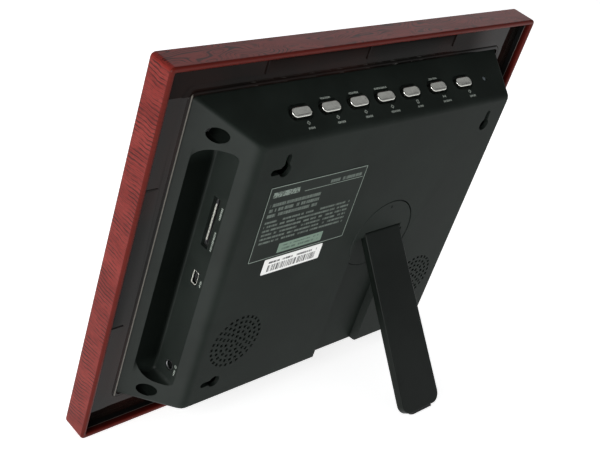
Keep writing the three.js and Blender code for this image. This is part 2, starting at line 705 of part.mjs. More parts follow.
function keyhole(x, z, directions) {
  const y0 = HOUSING_BACK - HOUSING_WALL - 1;
  const y1 = HOUSING_BACK + 1;
  const half = KEY_SLOT_W / 2;
  let hole = solid(post(x, z, KEY_R, y0, y1, 24));
  for (const [dx, dz] of directions) {
    const endX = x + dx * KEY_SLOT_L;
    const endZ = z + dz * KEY_SLOT_L;
    hole = hole.add(solid(post(endX, endZ, half, y0, y1, 16)));
    const wide = dz ? half : 0;
    const tall = dx ? half : 0;
    hole = hole.add(solid(box(Math.min(x, endX) - wide, Math.max(x, endX) + wide, y0, y1,
      Math.min(z, endZ) - tall, Math.max(z, endZ) + tall)));
  }
  return hole;
}

function rearHousing() {
  const tableSeat = HOUSING_BACK - TABLE_T - TABLE_CLEAR;
  const cupFront = tableSeat - HOUSING_WALL;
  let hollow = housingLoft(HOUSING_WALL, housingFront - 1);
  hollow = hollow.subtract(solid(post(TABLE_X, TABLE_Z, TABLE_R + TABLE_CLEAR + HOUSING_WALL, cupFront,
    HOUSING_BACK, 40)));
  hollow = hollow.subtract(channelSolid(HOUSING_WALL, 0, TABLE_Z));
  hollow = hollow.subtract(pocketSolid(HOUSING_WALL));
  for (const [x, z] of wells) {
    hollow = hollow.subtract(solid(post(x, z, WELL_R + WELL_WALL, 0, HOUSING_BACK, 20)));
  }
  for (const x of slopeBosses) {
    hollow = hollow.subtract(onTop(slopeRod(x, boardMiddle, bossR, boardHigh + GAP, 0)));
  }
  let housing = housingLoft(0, housingFront).subtract(hollow);
  housing = housing.subtract(solid(post(TABLE_X, TABLE_Z, TABLE_R + TABLE_CLEAR, tableSeat,
    HOUSING_BACK + 1, 64)));
  housing = housing.subtract(solid(post(TABLE_X, TABLE_Z, TABLE_BOSS_R + TABLE_CLEAR, cupFront - 1,
    HOUSING_BACK, 24)));
  housing = housing.subtract(channelSolid(0, 0, TABLE_Z));
  housing = housing.subtract(pocketSolid(0));
  for (const [x, z] of wells) {
    housing = housing.subtract(solid(post(x, z, WELL_R, WELL_FLOOR, HOUSING_BACK, 24)));
    housing = housing.subtract(solid(post(x, z, SCREW_R + SCREW_CLEAR, 0, HOUSING_BACK, 12)));
  }
  for (const x of buttonXs) {
    housing = housing.subtract(onTop(slopePill(DISH_W, DISH_H, DISH_H * 0.46, x, BUTTON_ROW,
      -DISH_DEPTH, 2, 4)));
    housing = housing.subtract(onTop(slopePill(CAP_W + 2 * CAP_CLEAR, CAP_H + 2 * CAP_CLEAR,
      (CAP_H / 2 + CAP_CLEAR) * CAP_ROUND, x, BUTTON_ROW, -HOUSING_WALL - 1, 2, 3)));
  }
  for (const x of slopeBosses) {
    housing = housing.subtract(onTop(slopeRod(x, boardMiddle, 0.85 + SCREW_CLEAR, boardHigh - 1, -3, 10)));
  }
  housing = housing.subtract(onTop(slopeRod(lampX, BUTTON_ROW, LAMP_R + CAP_CLEAR, -HOUSING_WALL - 1, 2)));
  for (const side of [1, -1]) {
    housing = cutGrille(housing, backMiddle + side * GRILLE_X);
  }
  housing = housing.subtract(keyhole(KEY_PORT_X, KEY_TOP_Z, [[0, 1], [1, 0]]));
  housing = housing.subtract(keyhole(KEY_PLAIN_X, KEY_TOP_Z, [[0, 1]]));
  housing = housing.subtract(keyhole(KEY_BOTTOM_X, KEY_BOTTOM_Z, [[1, 0]]));
  const wallX0 = POCKET_WALL_X - HOUSING_WALL - 1;
  const wallX1 = POCKET_WALL_X + 1;
  const cardHalf = CARD_SLOT_T / 2;
  housing = housing.subtract(solid(box(wallX0, wallX1, PORT_AXIS - cardHalf, PORT_AXIS + cardHalf,
    CARD_Z - CARD_SLOT_W / 2, CARD_Z + CARD_SLOT_W / 2)));
  housing = housing.subtract(solid(box(wallX0, wallX1, PORT_AXIS - USB_T / 2, PORT_AXIS + USB_T / 2,
    USB_Z - USB_W / 2, USB_Z + USB_W / 2)));
  housing = housing.subtract(solid(rod(PORT_AXIS, POWER_Z, POWER_HOLE_R, wallX0, wallX1)));
  const seatDepth = GAP + PRINT_T - PRINT_PROUD;
  const seats = [[LABEL_X, LABEL_Z, LABEL_W, LABEL_H], [STICKER_X, STICKER_Z, STICKER_W, STICKER_H]];
  for (const [x, z, w, h] of seats) {
    housing = housing.subtract(solid(centredSlab(w + 2 * GAP, h + 2 * GAP, 1, HOUSING_BACK - seatDepth,
      HOUSING_BACK + 1, x, z)));
  }
  return geometryOf(housing);
}

piece('rear_housing', rearHousing(), 'mattBlack');
wells.forEach(([x, z], i) => {
  piece(`housing_screw_${i + 1}`, screwGeometry(x, z, WELL_FLOOR + GAP, panelFront + 0.5, 3), 'steel');
});

const printBack = HOUSING_BACK + PRINT_PROUD;
const printFront = printBack - PRINT_T;
piece('rating_label', centredSlab(LABEL_W, LABEL_H, 1, printFront, printBack, LABEL_X, LABEL_Z), 'print');
piece('code_sticker', centredSlab(STICKER_W, STICKER_H, 0.6, printFront, printBack, STICKER_X, STICKER_Z),
  'paper');

// ---------------------------------------------------------------- sockets and speakers

const socketX1 = POCKET_WALL_X - HOUSING_WALL - GAP;
const socketFront = boardBack + GAP;

function cardSocket() {
  const halfW = CARD_SLOT_W / 2 + 1.5;
  const shell = solid(box(socketX1 - 30, socketX1, socketFront, PORT_AXIS + 3,
    CARD_Z - halfW, CARD_Z + halfW));
  const mouthHalf = CARD_SLOT_W / 2 - 1;
  const mouth = box(socketX1 - 27, socketX1 + 1, PORT_AXIS - 1.3, PORT_AXIS + 1.3, CARD_Z - mouthHalf,
    CARD_Z + mouthHalf);
  return geometryOf(shell.subtract(solid(mouth)));
}

function usbSocket() {
  const halfW = USB_W / 2 - 0.3;
  const halfT = USB_T / 2 - 0.3;
  const shell = solid(box(socketX1 - 9, socketX1, socketFront, PORT_AXIS + halfT,
    USB_Z - halfW, USB_Z + halfW));
  const mouth = box(socketX1 - 7, socketX1 + 1, PORT_AXIS - halfT + 0.5, PORT_AXIS + halfT - 0.5,
    USB_Z - halfW + 0.5, USB_Z + halfW - 0.5);
  const tongue = box(socketX1 - 8, socketX1 - 1.2, PORT_AXIS - 0.35, PORT_AXIS + 0.35,
    USB_Z - 2.4, USB_Z + 2.4);
  return geometryOf(shell.subtract(solid(mouth)).add(solid(tongue)));
}

function powerSocket() {
  const half = 4.6;
  const shell = solid(box(socketX1 - 11, socketX1, socketFront, PORT_AXIS + half,
    POWER_Z - half, POWER_Z + half));
  const mouth = rod(PORT_AXIS, POWER_Z, POWER_HOLE_R - 0.2, socketX1 - 9, socketX1 + 1);
  const pin = rod(PORT_AXIS, POWER_Z, 0.7, socketX1 - 10, socketX1 - 1, 10);
  return geometryOf(shell.subtract(solid(mouth)).add(solid(pin)));
}

function speaker(cx) {
  const backY = HOUSING_BACK - HOUSING_WALL - GAP - 1.2;
  const magnet = 8;
  const profile = [[0, backY - 3], [SPEAKER_R - 3, backY], [SPEAKER_R, backY], [SPEAKER_R, backY - 1.5],
    [magnet, backY - 5], [magnet, backY - SPEAKER_DEPTH], [0, backY - SPEAKER_DEPTH]];
  return lathe(profile.reverse(), 20).translate(cx, 0, GRILLE_Z);
}

function gasket(cx) {
  const y1 = HOUSING_BACK - HOUSING_WALL - GAP;
  const y0 = y1 - 0.7;
  const ring = solid(post(0, 0, SPEAKER_R, y0, y1, 20))
    .subtract(solid(post(0, 0, SPEAKER_R - 0.9, 0, 99, 20)));
  return geometryOf(ring).translate(cx, 0, GRILLE_Z);
}

piece('card_socket', cardSocket(), 'steel');
piece('usb_socket', usbSocket(), 'steel');
piece('power_socket', powerSocket(), 'chip');
for (const [side, sign] of [['port', 1], ['plain', -1]]) {
  piece(`speaker_${side}_side`, speaker(backMiddle + sign * GRILLE_X), 'chip');
  piece(`speaker_gasket_${side}_side`, gasket(backMiddle + sign * GRILLE_X), 'foam');
}

// ---------------------------------------------------------------- buttons, switches and lamp

const flangeTop = -HOUSING_WALL - GAP;
const flangeT = 0.8;
const switchTop = -5.7;
const stemEnd = switchTop + BUTTON_TRAVEL + 0.15;

function buttonCap(x) {
  const ring = (shrink, z) => [roundedOutline(x - CAP_W / 2 + shrink, x + CAP_W / 2 - shrink,
    BUTTON_ROW - CAP_H / 2 + shrink, BUTTON_ROW + CAP_H / 2 - shrink,
    (CAP_H / 2 - shrink) * CAP_ROUND, 3), z];
  const rise = CAP_RISE;
  const cap = flipFaces(pillLoft([ring(0, flangeTop - 0.3), ring(0, rise - 0.6), ring(0.25, rise - 0.22),
    ring(0.75, rise), ring(1.15, rise), ring(1.45, rise - 0.25), ring(1.5, rise - 0.25)]));
  const flange = slopePill(CAP_W + 2, CAP_H + 2, CAP_H * 0.45, x, BUTTON_ROW,
    flangeTop - flangeT, flangeTop, 2);
  const stem = slopeRod(x, BUTTON_ROW, 1.6, stemEnd, flangeTop - flangeT + 0.2, 10);
  return geometryOf(solid(cap).add(solid(flange)).add(solid(stem)));
}

function tactSwitch(x) {
  const base = solid(box(x - 3, x + 3, BUTTON_ROW - 3, BUTTON_ROW + 3, boardHigh + GAP, switchTop - 0.5));
  return geometryOf(base.add(solid(slopeRod(x, BUTTON_ROW, 1.5, boardHigh + 0.6, switchTop, 8))));
}

function buttonBoard() {
  const x0 = lampX - 6;
  const x1 = BUTTON_FIRST_X + 9;
  let board = solid(box(x0, x1, boardMiddle - boardHalf, boardMiddle + boardHalf, boardLow, boardHigh));
  for (const x of slopeBosses) {
    board = board.subtract(solid(slopeRod(x, boardMiddle, 0.85 + SCREW_CLEAR,
      boardLow - 1, boardHigh + 1, 10)));
  }
  return geometryOf(board);
}

function boardScrew(x) {
  const head = slopeRod(x, boardMiddle, 1.9, boardLow - GAP - 1.1, boardLow - GAP, 14);
  const shank = slopeRod(x, boardMiddle, 0.85, boardLow - GAP - 0.3, -3.6, 10);
  return geometryOf(solid(head).add(solid(shank)));
}

function lampLens() {
  const dome = 0.35;
  const profile = [[0, boardHigh + GAP], [LAMP_R, boardHigh + GAP], [LAMP_R, -0.7],
    [LAMP_R * 0.8, -0.7 + dome * 0.6], [LAMP_R * 0.45, -0.7 + dome], [0, -0.7 + dome]];
  return lathe(profile, 12).rotateX(Math.PI / 2).translate(lampX, BUTTON_ROW, 0);
}

buttonXs.forEach((x, i) => {
  piece(`button_${i + 1}`, buttonCap(x), 'chrome', slopeGroup);
  piece(`switch_${i + 1}`, tactSwitch(x), 'chip', slopeGroup);
});
piece('button_board', buttonBoard(), 'board', slopeGroup);
slopeBosses.forEach((x, i) => {
  piece(`button_board_screw_${i + 1}`, boardScrew(x), 'steel', slopeGroup);
});
piece('status_lamp', lampLens(), 'lamp', slopeGroup);

// ---------------------------------------------------------------- turntable and leg

const recessTop = LEG_T / 2 + 0.9;
const tableBack = HOUSING_BACK - 0.05;
const tableFront = HOUSING_BACK - TABLE_T;
const cupFloorFront = tableFront - TABLE_CLEAR - HOUSING_WALL;
const bossEnd = cupFloorFront - 0.6;

function turntable() {
  const edge = 0.35;
  const profile = [[0, bossEnd], [TABLE_BOSS_R, bossEnd], [TABLE_BOSS_R, tableFront], [TABLE_R, tableFront],
    [TABLE_R, tableBack - edge], [TABLE_R - edge, tableBack], [0, tableBack]];
  let disc = solid(lathe(profile, 64).translate(TABLE_X, 0, TABLE_Z));
  disc = disc.subtract(channelSolid(0, 0, hingeZ));
  const slotHalf = LEG_TOP_W / 2 + LEG_SIDE_CLEAR;
  disc = disc.subtract(solid(box(TABLE_X - slotHalf, TABLE_X + slotHalf, HOUSING_BACK - CHANNEL_DEPTH,
    HOUSING_BACK + 1, TABLE_Z - TABLE_R, hingeZ + recessTop)));
  const pinHalf = LEG_TOP_W / 2 + PIN_GRIP;
  disc = disc.subtract(solid(rod(legCentre, hingeZ, PIN_R + PIN_CLEAR, TABLE_X - pinHalf - GAP,
    TABLE_X + pinHalf + GAP, 12)));
  disc = disc.subtract(solid(post(TABLE_X, TABLE_Z, 1.1 + SCREW_CLEAR, bossEnd - 1, tableFront + 1, 12)));
  const markZ = TABLE_Z + TABLE_R - 3.2;
  const mark = pushed([[TABLE_X - 0.9, markZ - 1], [TABLE_X + 0.9, markZ - 1], [TABLE_X, markZ + 1.2]],
    tableBack - 0.4, tableBack + 1);
  return geometryOf(disc.subtract(solid(mark)));
}

function tableWasher() {
  const y1 = cupFloorFront - GAP;
  const ring = solid(post(TABLE_X, TABLE_Z, TABLE_BOSS_R + 5, bossEnd - 1.5, bossEnd - GAP, 32));
  return geometryOf(ring.subtract(solid(post(TABLE_X, TABLE_Z, 1.1 + SCREW_CLEAR, 0, y1, 12))));
}

function tableScrew() {
  const headBack = bossEnd - 1.5 - GAP;
  const head = solid(post(TABLE_X, TABLE_Z, 2.6, headBack - 1.2, headBack, 16));
  return geometryOf(head.add(solid(post(TABLE_X, TABLE_Z, 1.1, headBack - 0.3, tableFront + 0.5, 10))));
}

piece('turntable_disc', turntable(), 'mattBlack');
piece('turntable_washer', tableWasher(), 'steel');
piece('turntable_screw', tableScrew(), 'steel');
const pinHalfLength = LEG_TOP_W / 2 + PIN_GRIP;
piece('hinge_pin', rod(legCentre, hingeZ, PIN_R, TABLE_X - pinHalfLength, TABLE_X + pinHalfLength, 12),
  'steel');

// The leg's own axes start on the hinge line, with the leg hanging along -Z when it is folded.
legGroup.position.set(TABLE_X, legCentre, hingeZ);
legGroup.rotation.x = legOpen;

function standLeg() {
  const topHalf = LEG_TOP_W / 2 - LEG_EDGE;
  const footHalf = LEG_FOOT_W / 2 - LEG_EDGE;
  const end = -legLength + LEG_EDGE;
  const shape = new THREE.Shape();
  shape.moveTo(-topHalf, 0);
  shape.lineTo(-footHalf, end + LEG_FOOT_R);
  shape.absarc(-footHalf + LEG_FOOT_R, end + LEG_FOOT_R, LEG_FOOT_R, Math.PI, Math.PI * 1.5, false);
  shape.absarc(footHalf - LEG_FOOT_R, end + LEG_FOOT_R, LEG_FOOT_R, Math.PI * 1.5, Math.PI * 2, false);
  shape.lineTo(topHalf, 0);
  const blade = new THREE.ExtrudeGeometry(shape, { depth: LEG_T - 2 * LEG_EDGE, curveSegments: 6,
    bevelThickness: LEG_EDGE, bevelSize: LEG_EDGE, bevelSegments: 2 });
  blade.rotateX(Math.PI / 2).translate(0, LEG_T / 2 - LEG_EDGE, 0);
  const half = LEG_TOP_W / 2;
  const barrelR = LEG_T / 2;
  const barrel = lathe([[0, -half], [barrelR - LEG_EDGE, -half], [barrelR, -half + LEG_EDGE],
    [barrelR, half - LEG_EDGE], [barrelR - LEG_EDGE, half], [0, half]], 24).rotateZ(Math.PI / 2);
  const heelRise = 1.2;
  const heel = box(-half + 3, half - 3, -barrelR, 0, -1, heelRise);
  const bore = rod(0, 0, PIN_R + PIN_CLEAR, -half - 1, half + 1, 12);
  return geometryOf(solid(blade).add(solid(barrel)).add(solid(heel)).subtract(solid(bore)));
}

function footPad() {
  const top = -legLength - GAP;
  const points = roundedOutline(-PAD_W / 2, PAD_W / 2, -PAD_DEPTH / 2, PAD_DEPTH / 2, 0.9, 3);
  const shape = new THREE.Shape(points.map(([x, y]) => new THREE.Vector2(x, y)));
  const geometry = new THREE.ExtrudeGeometry(shape, { depth: PAD_T, bevelEnabled: false });
  return geometry.translate(0, 0, top - PAD_T);
}

piece('stand_leg', standLeg(), 'legBlack', legGroup);
piece('leg_foot_pad', footPad(), 'rubber', legGroup);

// ---------------------------------------------------------------- stand the object on z = 0

frameGroup.rotation.x = -lean;
object.updateMatrixWorld(true);
const whole = new THREE.Box3().setFromObject(object, true);
object.position.set(-(whole.min.x + whole.max.x) / 2, -(whole.min.y + whole.max.y) / 2, -whole.min.z);
object.updateMatrixWorld(true);

export default object;
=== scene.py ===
"""Looks for a digital photo frame: glossy wood-look frame, gloss back panel, matt rear housing with its
side ports and top buttons, and a turning stand leg.

Sizes in the settings are millimetres in the frame's own axes: x to the viewer's right from the picture
side, y backward and z up along the frame. The row itself is in metres, leaning back on its leg.
"""
import json
import math

import bmesh
import bpy
from bpy.props import FloatProperty, FloatVectorProperty, PointerProperty
from mathutils import Matrix, Vector


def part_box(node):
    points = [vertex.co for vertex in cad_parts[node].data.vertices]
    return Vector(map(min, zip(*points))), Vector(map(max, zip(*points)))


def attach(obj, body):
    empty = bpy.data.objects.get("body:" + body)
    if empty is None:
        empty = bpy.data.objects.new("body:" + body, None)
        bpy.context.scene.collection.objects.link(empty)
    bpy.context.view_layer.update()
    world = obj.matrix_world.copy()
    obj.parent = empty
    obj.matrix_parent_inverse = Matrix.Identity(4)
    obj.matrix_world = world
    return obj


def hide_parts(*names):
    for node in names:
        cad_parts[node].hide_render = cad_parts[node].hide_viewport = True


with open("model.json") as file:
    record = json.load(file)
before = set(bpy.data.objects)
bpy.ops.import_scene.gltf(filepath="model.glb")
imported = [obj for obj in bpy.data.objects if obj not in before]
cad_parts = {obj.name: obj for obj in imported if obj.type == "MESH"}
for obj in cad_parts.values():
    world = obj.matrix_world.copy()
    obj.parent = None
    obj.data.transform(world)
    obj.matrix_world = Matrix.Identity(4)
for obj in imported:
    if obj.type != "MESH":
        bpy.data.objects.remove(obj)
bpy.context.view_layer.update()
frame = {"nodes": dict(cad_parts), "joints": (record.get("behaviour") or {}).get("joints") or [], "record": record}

bl_info = {
    "name": "Digital photo frame",
    "version": (1, 0, 0),
    "blender": (4, 5, 0),
    "location": "3D View > Sidebar > Photo frame",
    "description": "Builds the finishes, printed marks and stage of a digital photo frame",
    "category": "Object",
}

NODES = frame["nodes"]

# ---------------------------------------------------------------- the frame's own axes

TURN = next(j for j in frame["joints"] if j["name"] == "turntable_turn")
BACK = Vector(TURN["axis"]).normalized()
ACROSS = Vector((1, 0, 0))
UP = ACROSS.cross(BACK) * -1
if UP.z < 0:
    UP = -UP
LEAN = math.atan2(-BACK.z, BACK.y)
TABLE_X, TABLE_Y, TABLE_Z = -31.0, 36.8, 106.5      # turntable's centre on the back face
ORIGIN = Vector(TURN["pos_m"]) - (ACROSS * TABLE_X + BACK * TABLE_Y + UP * TABLE_Z) / 1000


def at(x, y, z):
    """Row point, in metres, of a point given in millimetres in the frame's own axes."""
    return ORIGIN + (ACROSS * x + BACK * y + UP * z) / 1000


def middle(node):
    low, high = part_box(node)
    return (low + high) / 2


# ---------------------------------------------------------------- node helpers


class Graph:
    """Short names for adding and joining shader nodes in one tree."""

    def __init__(self, tree):
        self.tree = tree
        self.nodes = tree.nodes
        self.count = 0

    def add(self, kind, **settings):
        node = self.nodes.new(kind)
        node.location = (180 * (self.count % 12) - 1500, 260 - 220 * (self.count // 12))
        self.count += 1
        for key, value in settings.items():
            setattr(node, key, value)
        return node

    def feed(self, socket, value):
        if isinstance(value, bpy.types.NodeSocket):
            self.tree.links.new(value, socket)
        elif value is not None:
            socket.default_value = value

    def math(self, operation, a, b=None, c=None, clamp=False):
        node = self.add("ShaderNodeMath", operation=operation, use_clamp=clamp)
        for socket, value in zip(node.inputs, (a, b, c)):
            self.feed(socket, value)
        return node.outputs[0]

    def vector(self, operation, a, b=None):
        node = self.add("ShaderNodeVectorMath", operation=operation)
        for socket, value in zip(node.inputs, (a, b)):
            self.feed(socket, value)
        return node.outputs[0]

    def mix(self, factor, a, b, blend="MIX"):
        node = self.add("ShaderNodeMix", data_type="RGBA", blend_type=blend)
        self.feed(node.inputs[0], factor)
        self.feed(node.inputs[6], a)
        self.feed(node.inputs[7], b)
        return node.outputs[2]

    def noise(self, vector, scale, detail=2.0, rough=0.5):
        node = self.add("ShaderNodeTexNoise")
        self.feed(node.inputs["Vector"], vector)
        self.feed(node.inputs["Scale"], scale)
        self.feed(node.inputs["Detail"], detail)
        self.feed(node.inputs["Roughness"], rough)
        return node.outputs["Fac"]

    def ramp(self, value, *stops):
        node = self.add("ShaderNodeMapRange", interpolation_type="SMOOTHSTEP")
        self.feed(node.inputs["Value"], value)
        for name, number in zip(("From Min", "From Max", "To Min", "To Max"), stops):
            node.inputs[name].default_value = number
        return node.outputs["Result"]

    def split(self, vector):
        node = self.add("ShaderNodeSeparateXYZ")
        self.feed(node.inputs[0], vector)
        return node.outputs

    def join(self, x, y, z):
        node = self.add("ShaderNodeCombineXYZ")
        for socket, value in zip(node.inputs, (x, y, z)):
            self.feed(socket, value)
        return node.outputs[0]

    def group(self, tree, **inputs):
        node = self.add("ShaderNodeGroup")
        node.node_tree = tree
        for name, value in inputs.items():
            self.feed(node.inputs[name.replace("_", " ")], value)
        return node.outputs


def new_group(name, inputs, outputs):
    """A shader node group with named sockets; returns its graph, its input sockets and its output node."""
    tree = bpy.data.node_groups.new(name, "ShaderNodeTree")
    for label, kind, default in inputs:
        socket = tree.interface.new_socket(name=label, in_out="INPUT", socket_type=kind)
        if default is not None:
            socket.default_value = default
    for label, kind in outputs:
        tree.interface.new_socket(name=label, in_out="OUTPUT", socket_type=kind)
    graph = Graph(tree)
    source = graph.add("NodeGroupInput")
    target = graph.add("NodeGroupOutput")
    return graph, source.outputs, target.inputs


GROUPS = {}


def frame_axes_group():
    """Row coordinates turned into the frame's own axes, in millimetres."""
    graph, given, result = new_group("Frame axes", [("Vector", "NodeSocketVector", None)],
                                     [("Vector", "NodeSocketVector")])
    node = graph.add("ShaderNodeMapping", vector_type="POINT")
    graph.feed(node.inputs["Vector"], given["Vector"])
    node.inputs["Scale"].default_value = (1000, 1000, 1000)
    node.inputs["Rotation"].default_value = (LEAN, 0, 0)
    node.inputs["Location"].default_value = Matrix.Rotation(LEAN, 3, "X") @ ORIGIN * -1000
    graph.feed(result["Vector"], node.outputs[0])
    return graph.tree


def moulded_group():
    """Fine spark-eroded grain, soft mottling and faint handling marks on moulded plastic."""
    graph, given, result = new_group(
        "Moulded surface",
        [("Vector", "NodeSocketVector", None), ("Grain", "NodeSocketFloat", 3.0),
         ("Patch", "NodeSocketFloat", 0.04)],
        [("Height", "NodeSocketFloat"), ("Mottle", "NodeSocketFloat"), ("Rub", "NodeSocketFloat")])
    fine = graph.noise(given["Vector"], given["Grain"], 3.0, 0.6)
    coarse = graph.noise(given["Vector"], graph.math("MULTIPLY", given["Grain"], 0.35), 2.0)
    graph.feed(result["Height"], graph.math("ADD", fine, graph.math("MULTIPLY", coarse, 0.6)))
    graph.feed(result["Mottle"], graph.noise(given["Vector"], given["Patch"], 3.0, 0.55))
    streaks = graph.vector("MULTIPLY", given["Vector"], (1.0, 1.0, 0.14))
    rub = graph.noise(streaks, 0.5, 4.0, 0.7)
    graph.feed(result["Rub"], graph.ramp(rub, 0.62, 0.78, 0.0, 1.0))
    return graph.tree


def dust_group():
    """Thin dust that settles on faces turned upward."""
    graph, given, result = new_group(
        "Settled dust",
        [("Vector", "NodeSocketVector", None), ("Amount", "NodeSocketFloat", 0.1)],
        [("Mask", "NodeSocketFloat")])
    geometry = graph.add("ShaderNodeNewGeometry")
    upward = graph.ramp(graph.split(geometry.outputs["Normal"])[2], 0.3, 1.0, 0.0, 1.0)
    specks = graph.ramp(graph.noise(given["Vector"], 1.4, 4.0, 0.8), 0.5, 0.72, 0.25, 1.0)
    mask = graph.math("MULTIPLY", graph.math("MULTIPLY", upward, specks), given["Amount"])
    graph.feed(result["Mask"], mask)
    return graph.tree


def rows_group():
    """Rows of small print too fine to read: broken words in even lines."""
    graph, given, result = new_group(
        "Small print",
        [("Across", "NodeSocketFloat", 0.0), ("Down", "NodeSocketFloat", 0.0),
         ("Pitch", "NodeSocketFloat", 3.0), ("Fill", "NodeSocketFloat", 0.5)],
        [("Mask", "NodeSocketFloat")])
    line = graph.math("DIVIDE", given["Down"], given["Pitch"])
    number = graph.math("FLOOR", line)
    within = graph.math("FRACT", line)
    half = graph.math("MULTIPLY", given["Fill"], 0.5)
    band = graph.math("COMPARE", within, 0.5, half)
    letters = graph.noise(graph.join(given["Across"], graph.math("MULTIPLY", number, 7.3), 0), 2.6, 1.0)
    words = graph.noise(graph.join(given["Across"], graph.math("MULTIPLY", number, 3.1), 4), 0.42, 0.0)
    letters = graph.ramp(letters, 0.38, 0.52, 0.15, 1.0)
    ink = graph.math("MULTIPLY", letters, graph.ramp(words, 0.34, 0.4, 0, 1))
    graph.feed(result["Mask"], graph.math("MULTIPLY", band, ink))
    return graph.tree


def group_tree(name):
    makers = {"axes": frame_axes_group, "moulded": moulded_group, "dust": dust_group, "rows": rows_group}
    if name not in GROUPS:
        GROUPS[name] = makers[name]()
    return GROUPS[name]


def new_material(name, color, rough, metal=0.0, **sockets):
    """A material with one Principled shader; returns it with its graph, shader and place vector."""
    material = bpy.data.materials.new(name)
    material.use_nodes = True
    graph = Graph(material.node_tree)
    shader = next(n for n in material.node_tree.nodes if n.type == "BSDF_PRINCIPLED")
    shader.location = (900, 300)
    shader.inputs["Base Color"].default_value = (*color, 1)
    shader.inputs["Roughness"].default_value = rough
    shader.inputs["Metallic"].default_value = metal
    for key, value in sockets.items():
        shader.inputs[key.replace("_", " ")].default_value = value
    coords = graph.add("ShaderNodeTexCoord")
    place = graph.group(group_tree("axes"), Vector=coords.outputs["Object"])["Vector"]
    return material, graph, shader, place


def bump(graph, shader, height, strength, distance):
    node = graph.add("ShaderNodeBump")
    node.inputs["Strength"].default_value = strength
    node.inputs["Distance"].default_value = distance
    graph.feed(node.inputs["Height"], height)
    graph.feed(shader.inputs["Normal"], node.outputs["Normal"])


MATERIALS = {}


def moulded_plastic(name, color, rough, grain=3.0, relief=0.25, dust=0.05, **sockets):
    """Moulded plastic: grain in the tool, uneven sheen, and a little dust on top faces."""
    material, graph, shader, place = new_material(name, color, rough, **sockets)
    surface = graph.group(group_tree("moulded"), Vector=place, Grain=grain)
    settled = graph.group(group_tree("dust"), Vector=place, Amount=dust)["Mask"]
    lighter = tuple(min(1, c * 1.3 + 0.001) for c in color)
    tone = graph.mix(graph.ramp(surface["Mottle"], 0.3, 0.7, 0, 1), (*color, 1), (*lighter, 1))
    tone = graph.mix(settled, tone, (0.42, 0.41, 0.39, 1))
    graph.feed(shader.inputs["Base Color"], tone)
    uneven = graph.math("MULTIPLY_ADD", surface["Mottle"], 0.12, rough - 0.06)
    uneven = graph.math("SUBTRACT", uneven, graph.math("MULTIPLY", surface["Rub"], 0.05))
    graph.feed(shader.inputs["Roughness"], uneven)
    bump(graph, shader, surface["Height"], relief, 0.00012)
    return material


RIM_START, RIM_FULL = 14.5, 15.1                    # depths where the rim turns deep red
RIM_RED = (0.075, 0.007, 0.004, 1)
INNER_HALF_W, INNER_HALF_H = 132.2, 108.2           # just outside the frame's inner walls
FRAME_MIDDLE_Z = 111.0
LIP_BACK = 3.2
SEAM_DEPTH = 12.3                                   # edge of the painted shade band on the inner walls, where a painted highlight line runs
